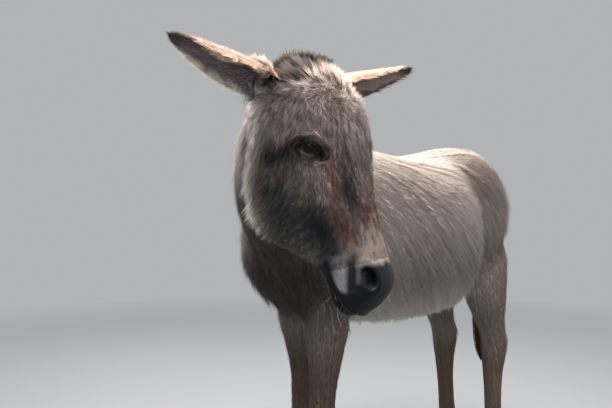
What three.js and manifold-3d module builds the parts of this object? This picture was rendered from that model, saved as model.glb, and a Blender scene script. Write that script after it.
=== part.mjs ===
// A standing donkey with its head turned to its left, as a still life-size model in named pieces.
// Millimetres, +Z up. The trunk lies along Y and faces -Y, and the animal's left side is +X.
// Every surface is the outside of the coat.
import * as THREE from "three";
import { mergeVertices } from "three/addons/utils/BufferGeometryUtils.js";
import Module from "manifold-3d";

const wasm = await Module();
wasm.setup();

// ---------------------------------------------------------------- driving dimensions
const GAP = 0.4; // between neighbouring pieces
const KNEE_HEIGHT = 350;
const HOCK_HEIGHT = 420;
const CORONET_HEIGHT = 56; // top of every hoof
// Where each leg stands, as [x, y] at the ground and at its top inside the body.
const FORE_STAND = {
  left: { foot: [72, -352], top: [94, -314] },
  right: { foot: [-64, -196], top: [-88, -238] },
};
const HIND_STAND = {
  left: { foot: [92, 500], top: [104, 470] },
  right: { foot: [-92, 536], top: [-104, 484] },
};

const NECK_ROOT = new THREE.Vector3(0, -268, 845); // inside the shoulders
const NECK_LENGTH = 545;
const NECK_TURN = { root: 10, poll: 74 }; // degrees to the left
const NECK_RISE = { root: 12, poll: 38 }; // degrees above level

const HEAD_LENGTH = 440;
const HEAD_TURN = 106; // degrees to the left of straight ahead
const HEAD_HANG = 16; // degrees that the face line leans forward of plumb
const HEAD_SEAT = { up: 48, forward: 8 }; // from the end of the neck to the top of the face line

const EAR_LENGTH = 232;
const EAR_ROOT = [56, 34, -34]; // on the skull: outward, down the face, out of the forehead
const EYE_RADIUS = 22;

// ---------------------------------------------------------------- small tools
const radians = THREE.MathUtils.degToRad;
const lerp = THREE.MathUtils.lerp;
const UP = new THREE.Vector3(0, 0, 1);
const DOWN = new THREE.Vector3(0, 0, -1);
const END_CROWDING = 0.55; // 0 spaces the rings of a loft evenly, 1 crowds them at its ends

// A smooth curve through the rows of a table, each row led by its place along the axis.
function profile(rows) {
  const slope = (i, c) => {
    const a = rows[Math.max(i - 1, 0)];
    const b = rows[Math.min(i + 1, rows.length - 1)];
    return (b[c] - a[c]) / (b[0] - a[0]);
  };
  return (x) => {
    let i = 0;
    while (i < rows.length - 2 && x > rows[i + 1][0]) i++;
    const [from, to] = [rows[i], rows[i + 1]];
    const span = to[0] - from[0];
    const t = THREE.MathUtils.clamp((x - from[0]) / span, 0, 1);
    return from.map((value, c) => {
      const rise = slope(i, c) * span;
      const run = slope(i + 1, c) * span;
      return (
        value * (1 + 2 * t) * (1 - t) ** 2 +
        rise * t * (1 - t) ** 2 +
        to[c] * t * t * (3 - 2 * t) +
        run * t * t * (t - 1)
      );
    });
  };
}

// How far the bumps lift a point of the skin. A bump off the middle line stands on both sides.
function bumpLift(p, bumps) {
  let lifted = 0;
  for (const { from, reach, lift } of bumps) {
    for (const side of from[0] === 0 ? [1] : [1, -1]) {
      const away = [from[0] * side, from[1], from[2]].map((f, k) => (p[k] - f) / reach[k]);
      lifted += lift * Math.exp(-(away[0] ** 2 + away[1] ** 2 + away[2] ** 2));
    }
  }
  return lifted;
}

// A closed skin of rings across an axis. A row is [along, high, low, half width, widest], where widest is
// the height of the broadest level, from 0 at low to 1 at high. square bends an ellipse towards a box.
// caps are the lengths over which the two ends round off, and bumps raise or sink the skin locally.
function loft(rows, { rings, around, caps, square = 2, bumps = [], grow = 0 }) {
  const at = profile(rows.map((row) => [...row, 0.5].slice(0, 5)));
  const start = rows[0][0] - grow;
  const end = rows[rows.length - 1][0] + grow;
  const power = (v) => Math.sign(v) * Math.abs(v) ** (2 / square);
  const ringAt = (along, count) => {
    const [, high, low, half, widest] = at(along);
    const middle = lerp(low, high, widest);
    if (count === 1) return [[0, along, middle]];
    const near = Math.min(1, (along - start) / caps[0], (end - along) / caps[1]);
    const round = Math.sqrt(Math.max(0, 1 - (1 - near) ** 2));
    return Array.from({ length: count }, (_, j) => {
      const turn = (2 * Math.PI * (j + 0.5)) / count;
      const [across, up] = [Math.sin(turn), Math.cos(turn)];
      const reach = (up > 0 ? high - middle : middle - low) + grow;
      const p = [round * (half + grow) * power(across), along, middle + round * reach * power(up)];
      const lifted = bumpLift(p, bumps);
      return [p[0] + across * lifted, along, p[2] + up * lifted];
    });
  };
  const points = [];
  for (let i = 0; i <= rings; i++) {
    const even = i / rings;
    const crowded = (1 - Math.cos(Math.PI * even)) / 2; // rings close up towards both ends
    const along = lerp(start, end, lerp(even, crowded, END_CROWDING));
    points.push(ringAt(along, i % rings === 0 ? 1 : around));
  }
  return skin(points);
}

// Triangles between rings of points. The first and last ring may be a single point.
function skin(ringsOfPoints) {
  const first = [];
  const positions = [];
  for (const ring of ringsOfPoints) {
    first.push(positions.length / 3);
    positions.push(...ring.flat());
  }
  const index = [];
  for (let i = 0; i + 1 < ringsOfPoints.length; i++) {
    const [a, b] = [ringsOfPoints[i].length, ringsOfPoints[i + 1].length];
    const around = Math.max(a, b);
    for (let j = 0; j < around; j++) {
      const [a0, a1] = [first[i] + (j % a), first[i] + ((j + 1) % a)];
      const [b0, b1] = [first[i + 1] + (j % b), first[i + 1] + ((j + 1) % b)];
      if (b > 1) index.push(a0, b0, b1);
      if (a > 1) index.push(a0, b1, a1);
    }
  }
  const geometry = new THREE.BufferGeometry();
  geometry.setAttribute("position", new THREE.Float32BufferAttribute(positions, 3));
  geometry.setIndex(index);
  return geometry;
}

// Moves every vertex of a geometry by a rule on its place.
function mapped(geometry, rule) {
  const position = geometry.getAttribute("position");
  for (let i = 0; i < position.count; i++) {
    const p = rule(new THREE.Vector3().fromBufferAttribute(position, i));
    position.setXYZ(i, p.x, p.y, p.z);
  }
  return geometry;
}

function solid(geometry) {
  const bare = new THREE.BufferGeometry();
  bare.setAttribute("position", geometry.getAttribute("position"));
  bare.setIndex(geometry.getIndex());
  const merged = mergeVertices(bare, 1e-3);
  const build = (triVerts) =>
    new wasm.Manifold(
      new wasm.Mesh({
        numProp: 3,
        vertProperties: new Float32Array(merged.attributes.position.array),
        triVerts,
      }),
    );
  const faces = new Uint32Array(merged.index.array);
  const made = build(faces);
  return made.volume() > 0 ? made : build(faces.slice().reverse());
}

// The largest of the separate bodies in a solid.
const biggest = (made) => made.decompose().sort((a, b) => b.volume() - a.volume())[0];

function geometryOf(made) {
  const mesh = made.getMesh();
  const geometry = new THREE.BufferGeometry();
  geometry.setAttribute("position", new THREE.BufferAttribute(mesh.vertProperties, 3));
  geometry.setIndex(new THREE.BufferAttribute(mesh.triVerts, 1));
  return geometry.toNonIndexed();
}

// The half of space on the side that a normal points to, as one very large box.
function halfSpace(point, normal) {
  const size = 4000;
  const turn = new THREE.Quaternion().setFromUnitVectors(UP, normal.clone().normalize());
  const box = new THREE.BoxGeometry(size, size, size).translate(0, 0, size / 2 + GAP / 2);
  return solid(box.applyQuaternion(turn).translate(point.x, point.y, point.z));
}

// ---------------------------------------------------------------- trunk
const TRUNK_ROWS = [
  // along, back, belly, half width, widest
  [-452, 850, 708, 82, 0.52],
  [-400, 934, 658, 114, 0.5],
  [-320, 1012, 612, 146, 0.48],
  [-230, 1052, 588, 172, 0.46],
  [-100, 1034, 572, 206, 0.44],
  [40, 1022, 560, 230, 0.43],
  [150, 1030, 560, 236, 0.43],
  [240, 1046, 580, 196, 0.45],
  [320, 1062, 622, 172, 0.48],
  [400, 1066, 660, 166, 0.5],
  [480, 1044, 694, 152, 0.5],
  [554, 968, 740, 112, 0.5],
];
const TRUNK_BUMPS = [
  { from: [120, -350, 830], reach: [90, 80, 130], lift: 16 }, // shoulder blade
  { from: [120, -380, 730], reach: [70, 60, 70], lift: 8 }, // point of the shoulder
  { from: [50, -450, 740], reach: [40, 60, 80], lift: 10 }, // breast
  { from: [0, -450, 740], reach: [22, 60, 90], lift: -12 }, // groove down the breast
  { from: [110, -300, 610], reach: [60, 90, 60], lift: 14 }, // upper arm
  { from: [150, -190, 640], reach: [70, 60, 80], lift: -10 }, // behind the elbow
  { from: [180, 270, 780], reach: [80, 56, 150], lift: -15 }, // flank
  { from: [120, 360, 1030], reach: [60, 60, 60], lift: 7 }, // point of the hip
  { from: [140, 450, 780], reach: [90, 90, 150], lift: 18 }, // thigh
  { from: [60, 540, 900], reach: [50, 60, 90], lift: 10 }, // buttock
  { from: [0, 560, 850], reach: [22, 60, 150], lift: -14 }, // cleft under the tail
];
const TRUNK_MESH = { rings: 30, around: 26, caps: [70, 92], square: 2.15, bumps: TRUNK_BUMPS };
const trunkMass = (grow) => solid(loft(TRUNK_ROWS, { ...TRUNK_MESH, grow }));

// ---------------------------------------------------------------- legs and hooves
// along is the height, high and low are the back and the front of the leg, measured from its own line.
const FORELEG_ROWS = [
  [-30, 30, -70, 44, 0.56],
  [0, 32, -60, 42, 0.56],
  [CORONET_HEIGHT - 4, 36, -40, 37],
  [CORONET_HEIGHT + 4, 37, -39, 37],
  [80, 30, -30, 32],
  [104, 33, -28, 30],
  [130, 41, -29, 34],
  [160, 34, -27, 29],
  [210, 31, -27, 27],
  [270, 31, -29, 29],
  [312, 34, -36, 35],
  [KNEE_HEIGHT, 36, -41, 39],
  [390, 33, -38, 36],
  [440, 33, -37, 34],
  [490, 40, -44, 38],
  [550, 53, -57, 46],
  [610, 66, -70, 53],
  [660, 66, -70, 46],
  [720, 44, -46, 22],
];
const HINDLEG_ROWS = [
  [-30, 34, -68, 42, 0.56],
  [0, 36, -58, 40, 0.56],
  [CORONET_HEIGHT - 4, 38, -40, 37],
  [CORONET_HEIGHT + 4, 39, -39, 37],
  [80, 36, -28, 32],
  [104, 40, -24, 31],
  [130, 46, -24, 35],
  [165, 38, -23, 30],
  [230, 36, -24, 29],
  [300, 38, -26, 31],
  [360, 46, -30, 37],
  [HOCK_HEIGHT - 14, 66, -36, 42],
  [HOCK_HEIGHT + 22, 76, -40, 41],
  [474, 58, -56, 40],
  [530, 52, -96, 50],
  [590, 56, -134, 58],
  [645, 62, -152, 62],
  [700, 60, -158, 60],
  [760, 50, -146, 46],
  [810, 24, -100, 20],
];

// The rows run up the axis, so the loft is turned to stand on it and then drawn along the leg's own line.
function leg(rows, { foot, top }) {
  const bare = loft(rows, { rings: 24, around: 12, caps: [1, 1], square: 2.1 });
  const topHeight = rows[rows.length - 1][0];
  const place = (p) => {
    const rise = p.y / topHeight;
    return new THREE.Vector3(p.x + lerp(foot[0], top[0], rise), p.z + lerp(foot[1], top[1], rise), p.y);
  };
  return solid(mapped(bare, place));
}

// ---------------------------------------------------------------- neck and head frames
// The neck's axis curves to the left as it rises. bend carries a point of the straight neck onto it.
const neckSteps = 60;
const neckPath = [NECK_ROOT.clone()];
for (let i = 0; i < neckSteps; i++) {
  const t = (i + 0.5) / neckSteps;
  const turn = radians(lerp(NECK_TURN.root, NECK_TURN.poll, t));
  const rise = radians(lerp(NECK_RISE.root, NECK_RISE.poll, t));
  const heading = new THREE.Vector3(
    Math.sin(turn) * Math.cos(rise),
    -Math.cos(turn) * Math.cos(rise),
    Math.sin(rise),
  );
  neckPath.push(neckPath[i].clone().addScaledVector(heading, NECK_LENGTH / neckSteps));
}

function neckFrame(along) {
  const t = THREE.MathUtils.clamp(along / NECK_LENGTH, 0, 1) * neckSteps;
  const i = Math.min(Math.floor(t), neckSteps - 1);
  const forward = neckPath[i + 1].clone().sub(neckPath[i]).normalize();
  const left = UP.clone().cross(forward).normalize();
  const up = forward.clone().cross(left);
  const origin = neckPath[i].clone().lerp(neckPath[i + 1], t - i);
  return { origin, forward, left, up };
}

function bend(p) {
  const { origin, forward, left, up } = neckFrame(p.y);
  const beyond = p.y - THREE.MathUtils.clamp(p.y, 0, NECK_LENGTH);
  return origin.addScaledVector(left, p.x).addScaledVector(up, p.z).addScaledVector(forward, beyond);
}

const NECK_ROWS = [
  [-60, 196, -190, 120, 0.44],
  [60, 196, -186, 114, 0.44],
  [160, 166, -164, 101, 0.46],
  [260, 138, -142, 96, 0.48],
  [360, 112, -124, 91, 0.5],
  [450, 92, -110, 86, 0.5],
  [NECK_LENGTH + 20, 76, -96, 78, 0.5],
];
function neckMass(grow) {
  return solid(mapped(loft(NECK_ROWS, { rings: 12, around: 18, caps: [60, 60], grow }), bend));
}

// The head's own frame: x to its right, y down the face from the poll, z out of the forehead.
const poll = neckFrame(NECK_LENGTH);
const headFrame = new THREE.Matrix4();
{
  const turn = radians(HEAD_TURN);
  const hang = radians(HEAD_HANG);
  const heading = new THREE.Vector3(Math.sin(turn), -Math.cos(turn), 0);
  const down = new THREE.Vector3(0, 0, -Math.cos(hang)).addScaledVector(heading, Math.sin(hang));
  const right = heading.clone().cross(UP);
  const out = right.clone().cross(down);
  const root = poll.origin.clone().addScaledVector(poll.up, HEAD_SEAT.up);
  root.addScaledVector(poll.forward, HEAD_SEAT.forward);
  headFrame.makeBasis(right, down, out).setPosition(root);
}

const HEAD_ROWS = [
  // along, forehead side, jaw side, half width, widest
  [-14, 34, -66, 58, 0.55],
  [30, 64, -104, 80, 0.62],
  [80, 79, -128, 92, 0.72],
  [125, 84, -145, 96, 0.76],
  [170, 78, -154, 94, 0.76],
  [215, 70, -160, 86, 0.74],
  [258, 66, -153, 77, 0.72],
  [288, 65, -128, 70, 0.7],
  [315, 65, -88, 63, 0.62],
  [345, 65, -58, 57, 0.52],
  [385, 61, -47, 55, 0.5],
  [420, 48, -43, 53, 0.5],
  [HEAD_LENGTH, 30, -34, 42, 0.5],
];
const HEAD_BUMPS = [
  { from: [84, 132, 40], reach: [34, 36, 26], lift: 10 }, // brow
  { from: [82, 112, -12], reach: [34, 26, 26], lift: -6 }, // hollow above and behind the eye
  { from: [80, 190, -80], reach: [50, 66, 55], lift: 9 }, // cheek
  { from: [74, 226, 12], reach: [26, 66, 16], lift: 8 }, // facial crest
  { from: [62, 300, -40], reach: [34, 40, 34], lift: -9 }, // hollow between cheek and mouth
  { from: [46, 300, 44], reach: [26, 40, 20], lift: -5 }, // hollow beside the nose
  { from: [46, 380, 40], reach: [24, 30, 24], lift: 8 }, // nostril wing
  { from: [0, 430, -40], reach: [34, 24, 26], lift: 6 }, // chin
  { from: [0, 372, -56], reach: [34, 24, 26], lift: -6 }, // chin groove
  { from: [0, 240, -160], reach: [26, 60, 40], lift: -16 }, // between the jaws
];
const inHeadSide = { left: -1, right: 1 };
const inHead = (geometry) => geometry.applyMatrix4(headFrame);

function headMass(grow) {
  return solid(
    inHead(loft(HEAD_ROWS, { rings: 21, around: 20, caps: [44, 40], square: 2.2, bumps: HEAD_BUMPS, grow })),
  );
}

const EYE_PLACE = [75, 162, 14];
const eyeball = (side, radius) =>
  new THREE.SphereGeometry(radius, 12, 8).translate(side * EYE_PLACE[0], EYE_PLACE[1], EYE_PLACE[2]);

const NOSTRIL = { place: [47, 381, 42], radii: [12, 18, 11], lean: 10 };
function nostril(side) {
  const pit = new THREE.SphereGeometry(1, 10, 8).scale(...NOSTRIL.radii).rotateX(radians(NOSTRIL.lean));
  return solid(inHead(pit.translate(side * NOSTRIL.place[0], NOSTRIL.place[1], NOSTRIL.place[2])));
}

// The gap between the lids, whose front corner is the lower one.
const LIDS = { out: 100, radii: [17, 14, 26], tilt: 33 };
function lidGap(side) {
  const gap = new THREE.SphereGeometry(1, 10, 6).scale(...LIDS.radii).rotateX(radians(-LIDS.tilt));
  return solid(inHead(gap.translate(side * LIDS.out, EYE_PLACE[1], EYE_PLACE[2])));
}

// ---------------------------------------------------------------- ears
// A leaf rolled round its length: the hollow side is the inner arc of each ring, the back is the outer arc.
const EAR_RINGS = 11;
const EAR_ARC = 7; // facets across each side of the leaf
const EAR_WALL = 9;
const EAR_BOW = 4; // how far the middle of the ear arches forward
const EAR_SHAPE = [
  // part of the length, half width, depth of the roll, degrees that each edge curls in past a half round
  [0, 29, 33, 10],
  [0.18, 32, 35, 16],
  [0.42, 31, 29, 30],
  [0.68, 25, 20, 36],
  [0.88, 17, 14, 30],
  [1, 9, 9, 20],
];

function earRing([part, half, deep, curl]) {
  const thin = Math.min(EAR_WALL, half * 0.6);
  const bow = EAR_BOW * Math.sin(Math.PI * part);
  const point = (step, wide, hollow, lift) => {
    const turn = lerp(-radians(curl), Math.PI + radians(curl), step / EAR_ARC);
    return [-wide * Math.cos(turn), part * EAR_LENGTH, bow - lift - hollow * Math.sin(turn)];
  };
  const ring = [];
  for (let k = 0; k <= EAR_ARC; k++) ring.push(point(k, half, deep, 0));
  for (let k = EAR_ARC - 1; k >= 1; k--) ring.push(point(k, half - thin, Math.max(deep - EAR_WALL, 1), 1));
  return ring;
}

function ear(side, { aim, opening }) {
  const shape = profile(EAR_SHAPE);
  const root = [[0, 0, -16]];
  const tip = [[0, EAR_LENGTH + 9, -4]];
  const points = [root];
  for (let i = 0; i < EAR_RINGS; i++) points.push(earRing(shape(i / (EAR_RINGS - 1))));
  points.push(tip);
  const inside = ([out, down, front]) => new THREE.Vector3(side * out, down, front).normalize();
  const along = inside(aim);
  const open = inside(opening).projectOnPlane(along).normalize();
  const across = along.clone().cross(open).normalize();
  const place = new THREE.Matrix4().makeBasis(across, along, open);
  place.setPosition(side * EAR_ROOT[0], EAR_ROOT[1], EAR_ROOT[2]);
  return inHead(skin(points).applyMatrix4(place));
}

// Directions are [outward, down the face, out of the forehead]. The hollow side faces opening.
const EAR_POSE = {
  left: { aim: [0.68, -0.1, 0.73], opening: [-0.27, 0.89, 0.29] },
  right: { aim: [0.98, -0.19, -0.07], opening: [0.12, 0.95, 0.24] },
};

// ---------------------------------------------------------------- mane and tail
const MANE_ROWS = [
  [30, 214, 150, 15],
  [120, 204, 130, 18],
  [220, 184, 110, 20],
  [330, 154, 90, 21],
  [430, 128, 70, 21],
  [NECK_LENGTH - 6, 108, 30, 20],
];
function maneMass(grow) {
  return solid(mapped(loft(MANE_ROWS, { rings: 12, around: 8, caps: [50, 30], grow }), bend));
}
const FORELOCK = { radii: [20, 37, 48], slope: -28, place: [0, -9, -8] };
function forelockMass() {
  const tuft = new THREE.SphereGeometry(1, 12, 8).scale(...FORELOCK.radii).rotateX(radians(FORELOCK.slope));
  return solid(inHead(tuft.translate(...FORELOCK.place)));
}

const TAIL_SWITCH = 600; // height where the long hair begins
const TAIL_ROWS = [
  // height, back, front, half width
  [330, 612, 592, 10],
  [400, 628, 580, 26],
  [500, 632, 576, 30],
  [570, 628, 582, 25],
  [640, 622, 582, 20],
  [760, 616, 576, 22],
  [880, 606, 556, 26],
  [960, 588, 520, 30],
  [1012, 556, 476, 30],
];
function tailMass() {
  const bare = loft(TAIL_ROWS, { rings: 18, around: 10, caps: [40, 30] });
  return solid(mapped(bare, (p) => new THREE.Vector3(p.x, p.z, p.y)));
}

// ---------------------------------------------------------------- finishes
const finish = (name, color, roughness) =>
  new THREE.MeshStandardMaterial({ name, color, roughness, metalness: 0 });
const coat = finish("coat", 0x8a7568, 0.95);
const darkCoat = finish("dark_coat", 0x4a3a33, 0.95);
const bareSkin = finish("muzzle_skin", 0x3b3736, 0.7);
const horn = finish("horn", 0x4b443e, 0.55);
const eyeGlass = finish("eye", 0x14161a, 0.08);

// ---------------------------------------------------------------- cutting into pieces
const model = new THREE.Group();
function put(name, made, material) {
  const mesh = new THREE.Mesh(made.isBufferGeometry ? made : geometryOf(made), material);
  mesh.name = name;
  model.add(mesh);
}

const trunk = trunkMass(0);
const trunkRoom = trunkMass(GAP);
const neck = neckMass(0);
const head = headMass(0);
const eyeRooms = [1, -1].map((side) => solid(inHead(eyeball(side, EYE_RADIUS + GAP))));

// The neck leaves the trunk at a plane from the withers to the breast, and ends against the head.
const neckBase = { point: new THREE.Vector3(0, -385, 930), normal: new THREE.Vector3(0, -0.81, 0.59) };
const above = halfSpace(neckBase.point, neckBase.normal);
const below = halfSpace(neckBase.point, neckBase.normal.clone().negate());
put("trunk", trunk.add(neck).intersect(below), coat);
put("neck", biggest(neck.add(trunk).intersect(above).subtract(headMass(GAP))), coat);

let skull = head;
for (const room of eyeRooms) skull = skull.subtract(room);
for (const side of [1, -1]) skull = skull.subtract(nostril(side)).subtract(lidGap(side));
const headDown = new THREE.Vector3().setFromMatrixColumn(headFrame, 1);
const headOut = new THREE.Vector3().setFromMatrixColumn(headFrame, 2);
const headPoint = (x, y, z) => new THREE.Vector3(x, y, z).applyMatrix4(headFrame);
const MUZZLE_FROM = 356;
const MOUTH_LEVEL = -20;
const muzzlePoint = headPoint(0, MUZZLE_FROM, 0);
const muzzle = skull.intersect(halfSpace(muzzlePoint, headDown));
put("head", skull.intersect(halfSpace(muzzlePoint, headDown.clone().negate())), coat);
const mouth = headPoint(0, 0, MOUTH_LEVEL);
put("muzzle", muzzle.intersect(halfSpace(mouth, headOut)), bareSkin);
put("lower_lip", muzzle.intersect(halfSpace(mouth, headOut.clone().negate())), bareSkin);

const headRoom = headMass(GAP).add(neckMass(GAP));
const earMass = { left: solid(ear(-1, EAR_POSE.left)), right: solid(ear(1, EAR_POSE.right)) };
for (const [name, side] of Object.entries(inHeadSide)) {
  put("ear_" + name, earMass[name].subtract(headRoom), coat);
  put("eye_" + name, inHead(eyeball(side, EYE_RADIUS)), eyeGlass);
}
const earRoom = earMass.left.add(earMass.right);
const mane = maneMass(0).subtract(headRoom).subtract(trunkRoom).subtract(earRoom);
const forelock = forelockMass().subtract(headRoom).subtract(maneMass(GAP)).subtract(earRoom);
put("mane", biggest(mane), darkCoat);
put("forelock", biggest(forelock), darkCoat);

const tail = tailMass().subtract(trunkRoom);
const dockEnd = new THREE.Vector3(0, 0, TAIL_SWITCH);
put("tail", tail.intersect(halfSpace(dockEnd, UP)), coat);
put("tail_switch", tail.intersect(halfSpace(dockEnd, DOWN)), darkCoat);

const aboveLevel = (height) => halfSpace(new THREE.Vector3(0, 0, height), UP);
const belowLevel = (height) => halfSpace(new THREE.Vector3(0, 0, height), DOWN);
const levels = (low, high) => aboveLevel(low).intersect(belowLevel(high));
function limb(name, rows, stand, joint, [upper, lower, foot]) {
  const whole = leg(rows, stand).subtract(trunkRoom);
  put(upper + "_" + name, whole.intersect(aboveLevel(joint)), coat);
  put(lower + "_" + name, whole.intersect(levels(CORONET_HEIGHT, joint)), coat);
  put(foot + "_" + name, whole.intersect(levels(-GAP / 2, CORONET_HEIGHT)), horn);
}
for (const name of ["left", "right"]) {
  limb(name, FORELEG_ROWS, FORE_STAND[name], KNEE_HEIGHT, ["forearm", "foreleg", "hoof_fore"]);
  limb(name, HINDLEG_ROWS, HIND_STAND[name], HOCK_HEIGHT, ["gaskin", "hindleg", "hoof_hind"]);
}

// The frame's origin is on the ground under the middle of the whole model.
const bounds = new THREE.Box3().setFromObject(model);
const middle = bounds.getCenter(new THREE.Vector3());
model.position.set(-middle.x, -middle.y, -bounds.min.z);

export default model;
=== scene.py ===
"""A standing long-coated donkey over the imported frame: skin, coat in solid tufts, eyes, lids and hooves.

Metres, +Z up. The trunk lies along Y and faces -Y, and the animal's left side is +X. The head has a frame of
its own, in millimetres: x to its right, y down the face from the poll, z out of the forehead.
"""
import math

import bmesh
import bpy
import numpy as np
from bpy.props import FloatProperty, FloatVectorProperty, IntProperty, PointerProperty
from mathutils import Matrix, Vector, kdtree
from mathutils.bvhtree import BVHTree


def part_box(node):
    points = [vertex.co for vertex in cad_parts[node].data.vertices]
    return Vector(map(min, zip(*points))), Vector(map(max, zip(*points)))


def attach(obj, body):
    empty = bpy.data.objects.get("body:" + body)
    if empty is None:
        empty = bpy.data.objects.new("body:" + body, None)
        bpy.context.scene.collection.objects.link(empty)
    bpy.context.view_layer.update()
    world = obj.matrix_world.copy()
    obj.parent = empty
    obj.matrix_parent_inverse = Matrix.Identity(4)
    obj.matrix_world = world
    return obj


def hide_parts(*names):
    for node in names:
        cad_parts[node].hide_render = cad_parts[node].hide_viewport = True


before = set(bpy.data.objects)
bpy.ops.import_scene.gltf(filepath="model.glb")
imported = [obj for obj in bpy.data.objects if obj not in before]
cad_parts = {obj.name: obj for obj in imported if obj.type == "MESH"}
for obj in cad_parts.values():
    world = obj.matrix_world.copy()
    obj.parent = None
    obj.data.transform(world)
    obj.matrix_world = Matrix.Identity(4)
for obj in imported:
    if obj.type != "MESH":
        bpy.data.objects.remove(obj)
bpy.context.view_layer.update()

bl_info = {
    "name": "Long-coated donkey",
    "version": (1, 0, 0),
    "blender": (4, 5, 0),
    "location": "3D View > Sidebar > Donkey",
    "description": "Builds the skin, coat, eyes and hooves of a standing donkey",
    "category": "Object",
}

MM = 0.001
SIDES = {"left": -1, "right": 1}  # the sign of x in the head's frame
FLESH = [
    "trunk", "neck", "head", "muzzle", "lower_lip", "ear_left", "ear_right", "tail",
    "forearm_left", "foreleg_left", "gaskin_left", "hindleg_left",
    "forearm_right", "foreleg_right", "gaskin_right", "hindleg_right",
]
EYES = ["eye_left", "eye_right"]
FEET = ("fore_left", "fore_right", "hind_left", "hind_right")
# Groups of flesh, by the start of a node's name.
MOUTH = ("muzzle", "lower_lip")
FACE = ("head", *MOUTH)
LEGS = ("fore", "gaskin", "hindleg")
LARGE = ("trunk", "neck", "forearm", "gaskin")


def hex_colour(text):
    """Linear RGB of an sRGB hex colour."""
    parts = [int(text[i:i + 2], 16) / 255 for i in (0, 2, 4)]
    return tuple(c / 12.92 if c <= 0.04045 else ((c + 0.055) / 1.055) ** 2.4 for c in parts)


def opaque(text):
    """Linear RGBA of an sRGB hex colour, for a shader's socket."""
    return (*hex_colour(text), 1)


# ---------------------------------------------------------------- frames of the body
def middle(node):
    """The middle of a CAD node's box."""
    low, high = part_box(node)
    return np.array((low + high) / 2)


def unit(v):
    v = np.asarray(v, float)
    return v / np.maximum(np.linalg.norm(v, axis=-1, keepdims=True), 1e-12)


# The head's measures, in millimetres.
EYE_OUT = 75  # from the middle of the head to the middle of an eyeball
EYE_DOWN = 162
EYE_FORWARD = 14
HEAD_HANG = math.radians(16)
EYE_RADIUS = 22
UP = np.array([0.0, 0.0, 1.0])

head_right = unit(middle("eye_right") - middle("eye_left"))
heading = np.cross(UP, head_right)
head_down = -UP * math.cos(HEAD_HANG) + heading * math.sin(HEAD_HANG)
head_out = np.cross(head_right, head_down)
HEAD_AXES = np.array([head_right, head_down, head_out])
EYE_MIDDLE = (middle("eye_right") + middle("eye_left")) / 2
HEAD_ORIGIN = EYE_MIDDLE - MM * (EYE_DOWN * head_down + EYE_FORWARD * head_out)
TRUNK_LINE = middle("tail")[0]  # x of the trunk's middle plane


def in_head(points):
    """Millimetres in the head's frame."""
    return (points - HEAD_ORIGIN) @ HEAD_AXES.T / MM


def from_head(points):
    """Metres in the scene, from millimetres in the head's frame."""
    return HEAD_ORIGIN + MM * np.asarray(points, float) @ HEAD_AXES


def head_vector(v):
    return unit(np.asarray(v, float) @ HEAD_AXES)


# Each ear's direction and the way its slit faces, in the head's frame.
EAR_AIM = {"left": (-0.68, -0.1, 0.73), "right": (0.98, -0.19, -0.07)}
EAR_OPENING = {"left": (0.27, 0.89, 0.29), "right": (0.12, 0.95, 0.24)}
EAR_ROOT = (56, 34, -34)  # outward, down the face, out of the forehead
EAR_LENGTH = 232


def in_ear(points, name):
    """Millimetres along an ear, across it to the crown and out of its slit, and those three directions."""
    aim = head_vector(EAR_AIM[name])
    opening = head_vector(EAR_OPENING[name])
    opening = unit(opening - aim * (opening @ aim))
    across = np.cross(aim, opening)
    if across @ head_down > 0:
        across = -across
    axes = np.array([aim, across, opening])
    root = from_head(np.array(EAR_ROOT) * (SIDES[name], 1, 1))
    return (points - root) @ axes.T / MM, axes


# ---------------------------------------------------------------- settings
def colour_setting(name, hex_text, description):
    return FloatVectorProperty(
        name=name, description=description, subtype="COLOR", size=3, min=0, max=1,
        default=hex_colour(hex_text),
    )


def power_setting(name, watts, description):
    return FloatProperty(name=name, description=description, default=watts, min=0, unit="POWER")


def length_setting(name, millimetres, description):
    return FloatProperty(name=name, description=description, default=millimetres * MM, min=0, unit="LENGTH")


class DonkeySkinSettings(bpy.types.PropertyGroup):
    voxel: length_setting("Voxel", 4, "Grain of the skin before it is thinned out")
    share: FloatProperty(name="Faces kept", description="Share of faces kept off the head", default=0.34)


class DonkeyCoatSettings(bpy.types.PropertyGroup):
    fullness: FloatProperty(name="Fullness", description="Number of tufts, as a share", default=1.0, min=0.01)
    seed: IntProperty(name="Seed", description="Seed of everything random in the coat", default=11)
    flank: colour_setting("Flank", "c3b4ac", "Grey-brown hair of the flank and neck")
    # The back's colour is paler hair, brightened further as painted light from above.
    back: colour_setting("Back", "c4b4a6", "Sun-bleached hair along the back")
    belly: colour_setting("Belly", "dddacb", "Pale hair of the belly")
    face: colour_setting("Face", "786b65", "Hair of the forehead and cheeks")
    brow: colour_setting("Brow", "94857e", "Pale woolly hair of the forehead")
    # Darker hair of the face stripe, deepened as painted shade on the side of the nose that faces away from
    # the light.
    dark: colour_setting("Dark", "2f2b2a", "Dark hair of the face stripe")
    # Darker hair of the cheek, deepened as painted shade on the cheek and in the hollows of the face.
    cheek: colour_setting("Cheek", "393939", "Dark hair of the cheek and the hollows of the face")
    rust: colour_setting("Rust", "5f3a2a", "Rust-brown hair under the eye and on the nose")
    mane: colour_setting("Mane", "3a302b", "Coarse brown hair of mane, forelock and tail")


class DonkeyStageSettings(bpy.types.PropertyGroup):
    floor: colour_setting("Floor", "5b5d60", "Plain pale floor")
    overhead: power_setting("Overhead light", 600, "Power of the soft light above")
    rim: power_setting("Back light", 130, "Power of the light behind")
    fill: power_setting("Fill light", 75, "Power of the light at the camera")
    room: FloatProperty(name="Room", description="Strength of the light from all round", default=0.8)
    wall: FloatProperty(name="Wall", description="Brightness of the plain wall behind", default=0.55)


# ---------------------------------------------------------------- arrays and meshes
def linked(name, data):
    """A new object with this data, in the scene."""
    ob = bpy.data.objects.new(name, data)
    bpy.context.scene.collection.objects.link(ob)
    return ob


def read_points(mesh):
    flat = np.empty(len(mesh.vertices) * 3, np.float32)
    mesh.vertices.foreach_get("co", flat)
    return flat.reshape(-1, 3).astype(float)


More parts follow.
